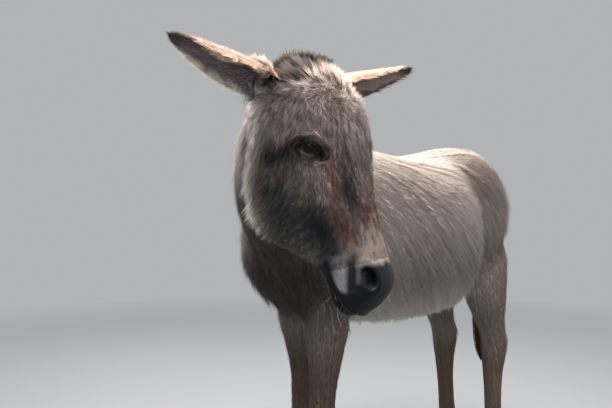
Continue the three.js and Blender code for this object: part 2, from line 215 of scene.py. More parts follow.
def read_triangles(mesh):
    mesh.calc_loop_triangles()
    flat = np.empty(len(mesh.loop_triangles) * 3, np.int32)
    mesh.loop_triangles.foreach_get("vertices", flat)
    return flat.reshape(-1, 3)


def node_arrays(node):
    """Points and triangles of a CAD node."""
    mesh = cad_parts[node].data
    return read_points(mesh), read_triangles(mesh)


def search_tree(points, triangles):
    return BVHTree.FromPolygons(points.tolist(), triangles.tolist())


def inside(points, low, high):
    """True for the points within a box."""
    return ((points > low) & (points < high)).all(1)


def mesh_of(name, points, faces, size):
    """A mesh whose faces all have the same number of corners, or with size as one number for each face."""
    mesh = bpy.data.meshes.new(name)
    corners = np.asarray(faces, np.int32).ravel()
    count = len(corners) // size if np.isscalar(size) else len(size)
    sizes = np.full(count, size, np.int32) if np.isscalar(size) else np.asarray(size, np.int32)
    mesh.vertices.add(len(points))
    mesh.vertices.foreach_set("co", np.asarray(points, np.float32).ravel())
    mesh.loops.add(len(corners))
    mesh.loops.foreach_set("vertex_index", corners)
    mesh.polygons.add(count)
    mesh.polygons.foreach_set("loop_start", np.concatenate([[0], np.cumsum(sizes)[:-1]]).astype(np.int32))
    mesh.polygons.foreach_set("use_smooth", np.ones(count, bool))
    mesh.update(calc_edges=True)
    return mesh


def paint(mesh, colours):
    """The coat's colour as an attribute on the points, from linear RGB."""
    attribute = mesh.color_attributes.new("coat", "FLOAT_COLOR", "POINT")
    rgba = np.ones((len(mesh.vertices), 4), np.float32)
    rgba[:, :3] = colours
    attribute.data.foreach_set("color", rgba.ravel())


def set_vectors(mesh, name, vectors):
    """A vector attribute on the points."""
    attribute = mesh.attributes.new(name, "FLOAT_VECTOR", "POINT")
    attribute.data.foreach_set("vector", vectors.astype(np.float32).ravel())


def set_bake_map(mesh, uv):
    """The map that the material is baked on, as one uv for each corner."""
    layer = mesh.uv_layers.new(name="OFBake")
    layer.data.foreach_set("uv", np.clip(uv, 0, 1).astype(np.float32).ravel())


def place(mesh, material, replaced=()):
    """Puts a finished mesh in the scene, riding on the one body."""
    ob = linked(mesh.name, mesh)
    mesh.materials.clear()
    mesh.materials.append(material)
    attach(ob, "root")
    if replaced:
        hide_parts(*replaced)


# Large numbers that stir a cell's place into a random value.
HASH_BY_AXIS = (73856093, 19349663, 83492791)
HASH_SEED = 2654435761
HASH_AGAIN = 1274126177


def soft_noise(points, size, seed):
    """Smooth random values from -1 to 1 over space, with one lump for each size."""
    grid = points / size
    base = np.floor(grid).astype(np.int64)
    part = grid - base
    part = part * part * (3 - 2 * part)
    total = np.zeros(len(points))
    for corner in np.ndindex(2, 2, 2):
        by_axis = (base + np.array(corner)) * HASH_BY_AXIS
        stirred = by_axis[:, 0] ^ by_axis[:, 1] ^ by_axis[:, 2] ^ (seed * HASH_SEED)
        stirred = (stirred ^ (stirred >> 13)) * HASH_AGAIN
        value = ((stirred ^ (stirred >> 16)) & 0xFFFF) / 32767.5 - 1
        weight = np.prod(np.where(np.array(corner) == 1, part, 1 - part), axis=1)
        total += weight * value
    return total


def ramp(x, low, high):
    """0 below low, 1 above high, smooth between. low may be the larger."""
    t = np.clip((np.asarray(x, float) - low) / (high - low), 0, 1)
    return t * t * (3 - 2 * t)


def hump(x, at, breadth):
    """1 at a place, falling to about a third at breadth on each side."""
    return np.exp(-((x - at) / breadth) ** 2)


def across_skin(vectors, normals):
    """vectors with the part along the normals taken out, at length 1."""
    return unit(vectors - normals * (vectors * normals).sum(1, keepdims=True))


class Surface:
    """A triangle mesh as arrays, with its neighbours for smoothing."""

    def __init__(self, points, triangles):
        self.points = points
        self.triangles = triangles
        edges = np.concatenate([triangles[:, [0, 1]], triangles[:, [1, 2]], triangles[:, [2, 0]]])
        self.edges = np.unique(np.sort(edges, axis=1), axis=0)
        self.degree = np.bincount(self.edges.ravel(), minlength=len(points))[:, None]

    def spread(self, values, rounds, keep=0.0):
        """Averages values over neighbours. keep holds back that share of each value at every round."""
        values = values.reshape(len(self.points), -1).astype(float)
        a, b = self.edges.T
        for _ in range(rounds):
            total = np.empty_like(values)
            for c, column in enumerate(values.T):
                total[:, c] = np.bincount(a, column[b], len(values)) + np.bincount(b, column[a], len(values))
            values = keep * values + (1 - keep) * total / self.degree
        return values

    def face_normals(self):
        a, b, c = (self.points[self.triangles[:, k]] for k in range(3))
        return np.cross(b - a, c - a)

    def normals(self):
        faces = self.face_normals()
        total = np.zeros_like(self.points)
        for k in range(3):
            for axis in range(3):
                total[:, axis] += np.bincount(self.triangles[:, k], faces[:, axis], len(self.points))
        return unit(total)


# ---------------------------------------------------------------- the skin
CUT_CLOSED = 1.2 * MM  # growth that closes the cuts between the solids
NOSTRIL_LUMP_AT = (42, 381, 41)  # a lump closes each CAD nostril, and shape_muzzle opens it again
NOSTRIL_LUMP_HALF = (13, 19, 12)


def merged_node(node):
    """A copy of a CAD node with its loose triangles joined."""
    part = bmesh.new()
    part.from_mesh(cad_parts[node].data)
    bmesh.ops.remove_doubles(part, verts=part.verts, dist=0.01 * MM)
    return part


def mesh_from(bm, name):
    """A mesh of a bmesh, which is then freed."""
    mesh = bpy.data.meshes.new(name)
    bm.to_mesh(mesh)
    bm.free()
    return mesh


def joined_nodes():
    """The flesh and eyes as one mesh, each solid grown a little so that the cuts between them close."""
    whole = bmesh.new()
    for node in FLESH + EYES:
        part = merged_node(node)
        part.normal_update()
        for v in part.verts:
            v.co += v.normal * CUT_CLOSED
        mesh = mesh_from(part, "part")
        whole.from_mesh(mesh)
        bpy.data.meshes.remove(mesh)
    for side in SIDES.values():
        lump = bmesh.ops.create_icosphere(whole, subdivisions=2, radius=1)["verts"]
        for v in lump:
            v.co = from_head(np.array(NOSTRIL_LUMP_AT) * (side, 1, 1) + np.array(v.co) * NOSTRIL_LUMP_HALF)
    return mesh_from(whole, "joined")


def applied(ob):
    """The mesh of an object with its modifiers, which are then removed."""
    evaluated = ob.evaluated_get(bpy.context.evaluated_depsgraph_get())
    mesh = bpy.data.meshes.new_from_object(evaluated)
    ob.modifiers.clear()
    return mesh


def in_voxels(ob, size):
    """The mesh of an object rebuilt in voxels of a size in metres."""
    grain = ob.modifiers.new("grain", "REMESH")
    grain.mode = "VOXEL"
    grain.voxel_size = size
    return applied(ob)


HEAD_BOX = ((-330, -260, -175), (330, math.inf, 330))  # mm in the head's frame, with the ears
NECK_CORE = ((-60, -math.inf, -math.inf), (60, -10, 40))  # the part of that box that the neck fills


def fine_area(points):
    """True on the head and ears, which keep the fine grain."""
    p = in_head(points)
    return inside(p, *HEAD_BOX) & ~inside(p, *NECK_CORE)


def remeshed(settings):
    """One closed skin round all the flesh, fine on the head and coarser on the body."""
    ob = linked("skin_work", joined_nodes())
    ob.data = in_voxels(ob, settings.voxel)
    body = np.nonzero(~fine_area(read_points(ob.data)))[0]
    ob.vertex_groups.new(name="body").add(body.tolist(), 1, "REPLACE")
    thin = ob.modifiers.new("thin", "DECIMATE")
    thin.ratio = settings.share
    thin.vertex_group = "body"
    mesh = applied(ob)
    bpy.data.objects.remove(ob)
    return mesh


def closest_nodes(points, nodes):
    """For each point, the place in nodes of the CAD node that it is closest to."""
    corners, faces, owner = [], [], []
    start = 0
    for k, node in enumerate(nodes):
        own, triangles = node_arrays(node)
        corners.append(own)
        faces.append(triangles + start)
        owner += [k] * len(triangles)
        start += len(own)
    tree = search_tree(np.concatenate(corners), np.concatenate(faces))
    return np.array([owner[tree.find_nearest(p)[2]] for p in points.tolist()])


def distance_to(points, node, limit):
    """Distance of each point from a CAD node's surface, or limit where it is further."""
    low, high = (np.array(v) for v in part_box(node))
    tree = search_tree(*node_arrays(node))
    away = np.full(len(points), float(limit))
    for i in np.nonzero(inside(points, low - limit, high + limit))[0]:
        found = tree.find_nearest(points[i], limit)
        if found[3] is not None:
            away[i] = found[3]
    return away


def kinds_of(labels, *words):
    """True where a label's node name starts with one of the words."""
    chosen = np.array([node.startswith(words) for node in FLESH])
    return chosen[labels]


# How far the skin lies inside the outline, in mm, by the start of a node's name. The head has its own rule.
COAT_DEPTHS = {
    "trunk": 11.0, "neck": 11.0, "tail": 8.0, "forearm": 6.0, "gaskin": 6.0,
    "foreleg": 3.0, "hindleg": 3.0, "ear": 1.6, "muzzle": 1.0, "lower_lip": 1.0,
}


def coat_depth(labels, p):
    """How far the skin lies inside the outline, in metres. p are millimetres in the head's frame."""
    depth = 5.0 - 3.0 * ramp(p[:, 1], 230, 340)  # the head, where the coat thins towards the nose
    for word, deep in COAT_DEPTHS.items():
        depth[kinds_of(labels, word)] = deep
    return depth * MM


JOIN_SPREAD = 24  # rounds over neighbours, about a hand's width
JOIN_HEIGHT = (0.99, 0.94)  # metres: joins stay as they are above this, under the mane


def join_share(surface, labels):
    """1 where trunk, neck and upper legs meet, falling to 0 a hand's width away."""
    a, b = surface.edges.T
    large = kinds_of(labels, *LARGE)
    meet = (labels[a] != labels[b]) & large[a] & large[b]
    near = np.zeros(len(labels))
    near[surface.edges[meet].ravel()] = 1
    near = surface.spread(near, JOIN_SPREAD)[:, 0]
    return ramp(near, 0.02, 0.14) * ramp(surface.points[:, 2], *JOIN_HEIGHT)


# The lids' measures, in millimetres.
LID_HALF = 25.0  # half the length of the opening between them
LID_HIGH = 11.5
LID_LOW = 8.5
LID_CORNER = 0.8  # power that draws the ends of the opening to a point
LID_REACH = 17.0  # from the margin to the buried edge of the lids
EYE_SLANT = math.radians(34)  # the inner corner lies lower than the outer
EYE_AREA = 60  # how far round an eye its lids can change the skin
LID_OVERHANG = 2.5  # height of the lids over the eyeball
LID_THINNING = 1.7  # how much lower they are at the margin
# Folds of the upper lid and the groove of the lower: distance from the margin, breadth and height.
UPPER_FOLDS = ((11.5, 2.8, 3.0), (7.0, 1.7, -2.8))
LOWER_GROOVE = (5.5, 1.5, 0.9)
LID_SUNK = 3.0  # how deep the skin lies under the lids
SOCKET_HEIGHT = 5.0  # of the skin behind an eyeball, over the eyeball's middle


class Eye:
    """One eye's middle, its directions along, up and outward from its opening, and the line of its lids."""

    def __init__(self, side, turns=96):
        self.centre = np.array([side * EYE_OUT, EYE_DOWN, EYE_FORWARD], float)
        self.outward = unit([side, -0.02, 0.30])
        along = np.array([0, math.sin(EYE_SLANT), math.cos(EYE_SLANT)])
        self.along = unit(along - self.outward * (along @ self.outward))
        self.up = -side * np.cross(self.along, self.outward)
        turn = np.arange(turns) / turns * 2 * math.pi
        rise = np.sin(turn)
        high = np.where(rise > 0, LID_HIGH, -LID_LOW) * np.abs(rise) ** (2 * LID_CORNER)
        self.margin = np.stack([LID_HALF * np.cos(turn), high], 1)

    def flat(self, p):
        """How far each point lies along the opening, up across it and outward, from the middle of the eye."""
        d = p - self.centre
        return d @ self.along, d @ self.up, d @ self.outward

    def near(self, p):
        """Which points lie round the front of the eye, and what flat says of them."""
        a, b, c = self.flat(p)
        local = np.nonzero((c > 0) & (np.hypot(a, b) < EYE_AREA))[0]
        return local, a[local], b[local], c[local]

    def solid(self, a, b, c):
        """The points that flat gives a, b and c for."""
        return self.centre + a[..., None] * self.along + b[..., None] * self.up + c[..., None] * self.outward

    def gap(self, a, b):
        """Distance from the margin across the opening's plane, negative inside the opening."""
        away = np.hypot(a[:, None] - self.margin[:, 0], b[:, None] - self.margin[:, 1]).min(1)
        open_part = np.maximum(0, 1 - (a / LID_HALF) ** 2) ** LID_CORNER
        within = (b < LID_HIGH * open_part) & (b > -LID_LOW * open_part)
        return np.where(within, -away, away)


def lid_height(a, b, gap, skin):
    """Height of the lids over the middle of the eye. skin is the bare skin's height there."""
    r = np.hypot(a, b)
    bend = 0.92 * EYE_RADIUS
    ball = np.sqrt(EYE_RADIUS ** 2 - np.minimum(r, bend) ** 2) - 0.9 * np.maximum(0, r - bend)
    over = ball + LID_OVERHANG - LID_THINNING * ramp(gap, 1.3, -0.6)
    upper = ramp(b, -3, 5)
    folds = upper * sum(height * hump(gap, at, breadth) for at, breadth, height in UPPER_FOLDS)
    at, breadth, depth = LOWER_GROOVE
    folds -= (1 - upper) * depth * hump(gap, at, breadth)
    share = ramp(gap, 2.5, 13)
    return over * (1 - share) + skin * share + folds


def sink_sockets(p):
    """Presses the skin in under the lids and behind each eyeball. Returns it, and the lids' outside."""
    under, over = p.copy(), p.copy()
    for side in SIDES.values():
        eye = Eye(side)
        local, a, b, c = eye.near(p)
        gap = eye.gap(a, b)
        lid = np.where(gap < LID_REACH, lid_height(a, b, np.maximum(gap, 0), c), c)
        low = lid - LID_SUNK * (1 - ramp(gap, 12, LID_REACH - 1))
        low = np.where(gap < 0, np.minimum(low, SOCKET_HEIGHT), low)
        under[local] = eye.solid(a, b, low)
        over[local] = eye.solid(a, b, lid + 1.0 * ramp(gap, 22, 15))
    return under, over


# The nostrils' measures, in millimetres.
NOSTRIL_AT = (45.0, 381.0, 45.0)
NOSTRIL_HALF = (20.0, 13.0)  # down the face, across
NOSTRIL_LEAN = math.radians(11)  # its long axis, from the way down the face
NOSTRIL_DEPTH = 17.0
NOSTRIL_NEAR = 20  # how far round its middle its facing is taken from
NOSTRIL_FAR = 34  # how far out of its plane it reaches
OUT_OF_REACH = 9.0  # given for points beyond that, in half sizes


def nostril_reach(p, n, side):
    """Distance from the middle of a nostril as a share of its half size, and the way that it faces."""
    d = p - np.array(NOSTRIL_AT) * (side, 1, 1)
    near = np.linalg.norm(d, axis=1) < NOSTRIL_NEAR
    facing = unit(n[near].mean(0)) if near.any() else np.array([side, 0.0, 0.0])
    down = np.array([0, math.cos(NOSTRIL_LEAN), math.sin(NOSTRIL_LEAN)])
    down = unit(down - facing * (down @ facing))
    across = np.cross(down, facing)
    reach = np.hypot((d @ down) / NOSTRIL_HALF[0], (d @ across) / NOSTRIL_HALF[1])
    return np.where(np.abs(d @ facing) < NOSTRIL_FAR, reach, OUT_OF_REACH), facing


LIP_GROOVE = ((344, 29), (390, 14))  # down the face and out of the forehead, behind the nostril
LIP_BULGE = ((356, 21), (1, 11))  # where the upper lip swells: down the face and out, each with a breadth
LIPS_END = 452  # how far down the face they reach


def mouth_level(y):
    """How far out of the forehead's plane the line between the lips lies, down the face."""
    return -20 + 10 * ramp(y, 400, 440) - 4 * ramp(y, 372, 340)


def shape_muzzle(p, n):
    """Nostrils, the upper lip's bulge and groove, and the line of the mouth. n are the head's own normals."""
    move = np.zeros_like(p)
    push = np.zeros(len(p))
    y, z = p[:, 1], p[:, 2]
    for side in SIDES.values():
        reach, facing = nostril_reach(p, n, side)
        move -= facing * (NOSTRIL_DEPTH * (1 - ramp(reach, 0.45, 1.06)))[:, None]
        push += 1.5 * hump(reach, 1.4, 0.28)  # the nostril's raised rim
        here = side * p[:, 0] > 12
        push -= np.where(here, 2.4 * capsule(p[:, 1:], *LIP_GROOVE, 5.5), 0)
        push += np.where(here, 2.8 * hump(y, *LIP_BULGE[0]) * hump(z, *LIP_BULGE[1]), 0)
    level = mouth_level(y)
    lips = ramp(y, 352, 374) * (y < LIPS_END)
    push -= 6.5 * lips * hump(z, level, 3.0)  # the line between the lips
    push += 1.6 * lips * (hump(z, level + 10, 6) + hump(z, level - 9, 5))  # and their edges
    return p + move + n * push[:, None]


MUZZLE_BOX = ((-80, 338, -90), (80, math.inf, 90))  # mm in the head's frame
FINE_ROUND_EYE = 46  # mm round the middle of an eye


def finer(mesh):
    """Splits the faces of the muzzle and round the eyes, where the skin itself shows."""
    bm = bmesh.new()
    bm.from_mesh(mesh)
    p = in_head(np.array([v.co for v in bm.verts]))
    wanted = inside(p, *MUZZLE_BOX)
    for side in SIDES.values():
        wanted |= np.linalg.norm(p - Eye(side).centre, axis=1) < FINE_ROUND_EYE
    bm.verts.ensure_lookup_table()
    edges = [e for e in bm.edges if wanted[e.verts[0].index] and wanted[e.verts[1].index]]
    bmesh.ops.subdivide_edges(bm, edges=edges, cuts=1, use_grid_fill=True)
    bmesh.ops.triangulate(bm, faces=bm.faces)
    bm.to_mesh(mesh)
    bm.free()
    return mesh


FACE_BOX = ((-130, 60, -190), (130, 470, 190))  # mm in the head's frame, round eyes, nostrils and lips
IN_HOOF = 4 * MM  # how far the skin's foot reaches down into the hoof
FOOT_MARGIN = 0.03  # metres round a hoof within which the skin is cut off at that level
FOOT_TOP = 0.15  # metres: roots lower than this take the height of the cut skin


def eased(surface, values, rounds, share, keep=0.0):
    """values, smoothed by rounds over neighbours where share is 1 and left where it is 0."""
    values = values.reshape(len(share), -1)
    return values + (surface.spread(values, rounds, keep) - values) * share.reshape(-1, 1)


def smoothed_outline(surface, labels, join):
    """The skin's points with the CAD's facets and creases smoothed out, but hardly on the thin ears."""
    smooth = surface.spread(surface.points, 8, keep=0.3)
    smooth += (surface.spread(surface.points, 30) - smooth) * join[:, None]
    mouth = surface.spread(kinds_of(labels, *MOUTH) * 1.0, 6)
    smooth = eased(surface, smooth, 14, mouth, keep=0.3)
    ears = kinds_of(labels, "ear")
    return np.where(ears[:, None], surface.spread(surface.points, 2, keep=0.5), smooth)


made = {}  # what one operator leaves for the next


class DONKEY_OT_skin(bpy.types.Operator):
    """One skin over all the flesh, inside the coat, with sockets, nostrils and lips"""

    bl_idname = "donkey.skin"
    bl_label = "Skin"

    def execute(self, context):
        mesh = finer(remeshed(context.scene.donkey_skin))
        surface = Surface(read_points(mesh), read_triangles(mesh))
        labels = closest_nodes(surface.points, FLESH)
        p = in_head(surface.points)
        join = join_share(surface, labels)
        depth = eased(surface, surface.spread(coat_depth(labels, p), 12), 50, join)
        surface.points = smoothed_outline(surface, labels, join)
        inward = surface.spread(surface.normals(), 4)
        surface.points = surface.points - unit(inward) * depth
        surface.points = surface.spread(surface.points, 1, keep=0.5)
        face = np.nonzero(inside(p, *FACE_BOX))[0]
        q = in_head(surface.points[face])
        q = shape_muzzle(q, surface.normals()[face] @ HEAD_AXES.T)
        surface.points[face] = from_head(q)
        made["bare"] = search_tree(surface.points, surface.triangles)
        under, over = sink_sockets(q)
        roots = surface.points.copy()
        roots[face] = from_head(over)
        surface.points[face] = from_head(under)
        for foot in FEET:
            low, high = (np.array(v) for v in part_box("hoof_" + foot))
            level = high[2] - IN_HOOF
            near = inside(surface.points[:, :2], low[:2] - FOOT_MARGIN, high[:2] + FOOT_MARGIN)
            surface.points[near & (surface.points[:, 2] < level), 2] = level
        roots[:, 2] = np.where(surface.points[:, 2] < FOOT_TOP, surface.points[:, 2], roots[:, 2])
        made.update(surface=surface, labels=labels, roots=Surface(roots, surface.triangles))
        made["coat_colour"] = markings(surface, labels, context.scene.donkey_coat)
        skin = mesh_of("skin", surface.points, surface.triangles, 3)
        paint(skin, made["coat_colour"] * skin_shade(labels)[:, None])
        place(skin, skin_material(), FLESH)
        return {"FINISHED"}


# ---------------------------------------------------------------- markings
def capsule(points, start, end, radius):
    """1 on the line from start to end, falling to about a third at radius."""
    a, b = np.asarray(start, float), np.asarray(end, float)
    along = b - a
    t = np.clip(((points - a) @ along) / max(along @ along, 1e-9), 0, 1)
    away = np.linalg.norm(points - a - t[:, None] * along, axis=1)
    return np.exp(-(away / radius) ** 2)


def mixed(colours, colour, share):
    """Colours moved by a share towards one colour, given as linear RGB or as sRGB hex."""
    aim = np.asarray(hex_colour(colour) if isinstance(colour, str) else colour)
    return colours + (aim - colours) * np.clip(share, 0, 1)[:, None]


def washed(colours, *layers):
    """Colours after each layer in turn. A layer is a colour and its share at every point."""
    for colour, share in layers:
        colours = mixed(colours, colour, share)
    return colours


FORELOCK_FOOT = ((14, -8), (26, 24), 24)  # a line down the face and out of it, with a radius


def forelock_foot(p):
    """1 on the sides of the poll under the forelock, 0 further away."""
    return ramp(capsule(p[:, 1:], *FORELOCK_FOOT), 0.25, 0.5) * ramp(p[:, 1], 68, 52)


# Places on the body in metres: the ends of a line and a radius round it.
FORE_CHESTNUT = ((-0.10, -0.07, 0.40), (-0.10, -0.07, 0.36), 0.035)
HIND_CHESTNUT = ((-0.06, 0.60, 0.47), (-0.06, 0.60, 0.43), 0.035)
# the rear edge of the barrel, where a painted highlight stands in for light from behind catching its long
# hair
BARREL_EDGE_HIGHLIGHT = ((0.10, 0.22, 0.98), (0.14, 0.28, 0.72), 0.06)
DORSAL_STRIPE = 0.016  # half its width


def body_colour(surface, labels, p, s):
    """Linear colour of the trunk, neck, legs and tail at every point of the skin."""
    x, y, z = surface.points.T
    body = kinds_of(labels, "trunk", "tail")
    legs = kinds_of(labels, *LEGS)
    thigh = body + kinds_of(labels, "gaskin")
    # Throat, breast and the top of the forelegs: darker hair, with painted shade under the head and chest.
    shaded_throat = body * ramp(y, -0.10, -0.22) * ramp(z, 0.86, 0.76)
    shaded_throat += kinds_of(labels, "neck") * ramp(p[:, 1], 60, 150)
    shaded_throat += kinds_of(labels, "forearm") * ramp(z, 0.53, 0.66)
    # Lower flank: painted shade, where the side turns away from the light above.
    shaded_low_flank = ramp(z, 0.84, 0.76) * ramp(z, 0.66, 0.70) * ramp(y, -0.12, 0.0)
    colours = washed(
        np.tile(np.array(s.flank), (len(p), 1)),
        # paler hair along the back, brightened as painted light from above
        (s.back, body * ramp(z, 0.88, 1.03)),
        (s.belly, body * ramp(z, 0.70, 0.60) * ramp(y, 0.62, 0.45)),
        (s.mane, 0.5 * body * hump(x, TRUNK_LINE, DORSAL_STRIPE) * ramp(z, 0.95, 1.0)),
        ("5f5046", legs * ramp(z, 0.72, 0.50)),
        (s.rust, 0.8 * legs * capsule(surface.points, *FORE_CHESTNUT)),
        (s.rust, 0.8 * legs * capsule(surface.points, *HIND_CHESTNUT)),
        # painted shade under the head and chest, over darker hair
        ("1f1d1c", 0.9 * shaded_throat),  # with the breast and the top of the forelegs
        # painted highlight on the barrel's rear edge
        ("eadfd4", 0.75 * body * capsule(surface.points, *BARREL_EDGE_HIGHLIGHT)),
        # painted shade on the lower flank
        ("8b7e77", 0.75 * body * shaded_low_flank),
        # painted shade on the croup and thigh, which lie behind the barrel and away from the light
        ("917f75", 0.8 * body * ramp(y, 0.26, 0.42) * ramp(z, 0.86, 0.98)),  # croup
        ("8f817a", 0.8 * thigh * ramp(y, 0.36, 0.50) * ramp(z, 0.84, 0.72)),
    )
    return surface.spread(colours, 14)


# Marks of the face in the head's frame, the same on both sides: a colour or the name of a setting, its share,
# the ends of a line and a radius round it.
FACE_MARKS = (
    ("brow", 0.9, (56, 90, 50), (20, 125, 80), 40),  # forehead
    ("a0928a", 0.9, (20, 75, 78), (18, 145, 82), 22),
    # painted shade on the side of the nose, over darker hair of the face stripe
    ("dark", 0.65, (56, 172, 56), (52, 210, 55), 16),  # stripe down each side of the face
    ("1f1d1d", 0.95, (53, 226, 54), (50, 250, 54), 19),
    ("dark", 0.7, (48, 240, 56), (30, 290, 66), 12),
    # painted shade on the cheek and in the hollow between cheek and mouth, over darker hair
    ("cheek", 0.95, (84, 205, -60), (74, 262, -62), 50),  # cheek
    ("cheek", 0.95, (76, 262, -28), (60, 322, -18), 27),  # hollow between cheek and mouth
    # painted shade in the hollow behind the eye
    ("0f1011", 0.95, (95, 150, -12), (90, 143, -52), 24),  # hollow behind the eye
    ("35302e", 0.9, (66, 288, 0), (52, 326, 6), 16),  # behind the corner of the mouth
    ("rust", 0.8, (74, 200, 38), (66, 272, 24), 7),  # streak below the eye's front corner
    ("4e2e21", 0.95, (62, 284, 30), (56, 314, 40), 14),
    ("62554e", 0.9, (44, 24, 54), (0, 50, 72), 29),  # darker hair over the poll
    # painted shade, darkest in the hollow between cheek and mouth
    ("1e2022", 0.95, (76, 264, -4), (64, 304, -10), 25),  # darkest part of the hollow
    ("rust", 0.85, (20, 262, 66), (20, 292, 64), 13),  # bridge of the nose
    ("6f645b", 0.85, (0, 328, 62), (34, 336, 58), 20),  # pale nose above the muzzle
    ("face", 0.7, (87, 192, 14), (85, 204, 4), 14),  # paler hair below the eye
    ("6f4f44", 0.8, (88, 164, 42), (80, 186, 44), 11),  # fold at the eye's front corner
    # pale hair on the edges of the jaw and cheek, brightened as painted rim light from behind
    ("f0e4d4", 0.95, (64, 256, -139), (54, 150, -136), 22),  # pale edge of the jaw
    ("e0d3c8", 0.8, (60, 140, -116), (76, 56, -64), 22),  # and of the cheek
)
# How far down the face the slate muzzle and the bare lips begin, at heights out of the forehead's plane.
MUZZLE_BORDER = ((-40, -5, 10, 20, 30, 60), (338, 328, 328, 342, 357, 362))
LIP_BORDER = ((-21, -7, 6, 24, 40, 58), (356, 388, 399, 400, 403, 405))
GROOVE_LINE = ((330, 400), (31, 9))  # heights of the lip's groove down the face
NOSTRIL_FOLD = ((340, 39), (382, 29), 4.5)
NOSTRIL_HOLE = ((372, 45), (390, 47), 15)
EYE_SKIN = ((90, 156, 0), (85, 172, 22), 13)


def face_colour(colours, surface, labels, p, s):
    """The colours with the head's own laid over them."""
    head = kinds_of(labels, *FACE)
    _, y, z = p.T
    colours = washed(colours, (s.face, head * 1.0), ("594f4a", 0.8 * head * ramp(y, 235, 290)))
    for colour, share, start, end, radius in FACE_MARKS:
        colours = mixed(colours, getattr(s, colour, colour), share * head * capsule(p, start, end, radius))
    ragged = 5 * soft_noise(surface.points, 0.014, 31)
    border = np.interp(z, *MUZZLE_BORDER) + ragged
    lips = np.interp(z, *LIP_BORDER) + 0.6 * ragged
    from_groove = z - np.interp(y, *GROOVE_LINE)
    nose = head * (np.abs(z) < 90)
    lip_side = nose * ramp(y, 326, 338) * ramp(from_groove, -2, -13) * ramp(z, -20, -4)
    side_on = head * ramp(p[:, 0], 18, 28)
    flat = p[:, 1:]
    return washed(
        colours,
        (0.6 * np.array(s.mane), head * forelock_foot(p)),
        ("0c0e11", nose * ramp(y - border, -7, 7)),  # slate muzzle
        ("625e61", 0.75 * lip_side),
        ("454146", 0.7 * side_on * capsule(flat, *NOSTRIL_FOLD)),
        # painted shade in the groove of the upper lip
        ("0b0b0c", 0.8 * side_on * capsule(flat, *LIP_GROOVE, 5)),
        # dark skin of the lips and chin, deepened as painted shade under the head
        ("070809", nose * ramp(y - lips, -6, 5)),
        ("0c0b0d", 0.95 * head * capsule(p, *EYE_SKIN)),
        # painted shade in the hollow of the nostril
        ("020203", 0.98 * side_on * capsule(flat, *NOSTRIL_HOLE)),
        # painted shade in the line between the lips
        ("08080a", 0.8 * head * (y > 350) * hump(z, mouth_level(y), 4.5)),  # between the lips
    )


# Dark skin inside each ear, deepened as painted shade in the slit.
EAR_INSIDE_AND_SHADE = {"left": "98847b", "right": "635759"}
# Fringe on the lower lip of each slit; the right one is painted much paler, as light from behind shining
# through it.
EAR_FRINGE_AND_BACKLIGHT = {"left": "5b493f", "right": "cfc5b6"}
# Where the dark inside of an ear ends: distances along it, and shares of its half width towards the crown.
INSIDE_BORDER = ((20, 46, 75, 103, 130, 160, 189, 205), (0.8, 0.5, 0.15, 0, -0.05, 0.12, 0.6, 1.2))


def ear_colour(colours, surface, labels, name):
    """The colours with one ear's laid over them: pale, dark inside with painted shade in the slit, dark at
    the tip, and a pale fringe on the slit's lower lip that is painted as backlit on the right ear.
    """
    ear = kinds_of(labels, "ear_" + name) * 1.0
    q, (_, _, opening) = in_ear(surface.points, name)
    facing = surface.normals() @ opening
    low, _ = ear_edge(surface.points, name)
    share = q[:, 1] / ear_width(q) + 0.12 * soft_noise(surface.points, 0.012, 33)
    limit = np.interp(q[:, 0], *INSIDE_BORDER)
    rim = 0.9 * low * ramp(share, -0.62, -0.85) * ramp(q[:, 0], 30, 60)
    return washed(
        colours,
        ("dec0ac", ear),
        (EAR_INSIDE_AND_SHADE[name], ear * ramp(facing, -0.35, 0.1) * ramp(share - limit, 0.06, -0.14)),
        ("a1897a", ear * 0.8 * np.maximum(ramp(facing, 0.1, -0.4), ramp(share, 0.8, 1.0))),  # back of the ear
        (EAR_FRINGE_AND_BACKLIGHT[name], ear * rim),
        ("3a2f2b", ear * 0.9 * ramp(q[:, 0], 195, 224)),
    )


def markings(surface, labels, s):
    """Linear colour of the coat at every point of the skin."""
    p = in_head(surface.points)
    p[:, 0] = np.abs(p[:, 0])
    colours = body_colour(surface, labels, p, s)
    colours = face_colour(colours, surface, labels, p, s)
    for name in SIDES:
        colours = ear_colour(colours, surface, labels, name)
    return colours


def skin_shade(labels):
    """The skin is painted darker than the hair over it, as shade under the coat, but not on the muzzle, where
    the hair is a velvet.
    """
    return np.where(kinds_of(labels, *MOUTH), 1.0, 0.45)


# ---------------------------------------------------------------- the coat
# Each kind of hair, by the start of a node's name: length and width of a tuft in mm, tufts to a square
# centimetre, rise from the skin in degrees, width of a lock in mm, how far a lock draws together, how far
# a tuft strays from the lie of the coat in degrees, and how much its tone varies.
HAIR = {
    "trunk": (56, 1.8, 10.5, 9, 16, 0.35, 6, 0.12),
    "neck": (48, 1.8, 10.5, 10, 16, 0.4, 8, 0.13),
    "tail": (50, 1.8, 11.0, 9, 10, 0.4, 6, 0.09),
    "head": (17, 1.4, 28.0, 18, 5, 0.8, 16, 0.5),
    "muzzle": (3.5, 0.7, 24.0, 10, 6, 0.1, 10, 0.08),
    "lower_lip": (3.5, 0.7, 24.0, 10, 6, 0.1, 10, 0.08),
    "ear": (11, 1.0, 22.0, 12, 6, 0.35, 12, 0.2),
    "forearm": (24, 1.5, 9.0, 11, 10, 0.5, 8, 0.2),
    "gaskin": (27, 1.5, 9.0, 11, 10, 0.5, 8, 0.2),
    "foreleg": (13, 1.2, 10.0, 10, 7, 0.4, 8, 0.18),
    "hindleg": (13, 1.2, 10.0, 10, 7, 0.4, 8, 0.18),
}
LENGTH, WIDTH, COUNT, RISE, LOCK, DRAW, STRAY, TONE = range(8)  # columns of HAIR
PIECE_LIMIT = 48000  # tufts in one piece


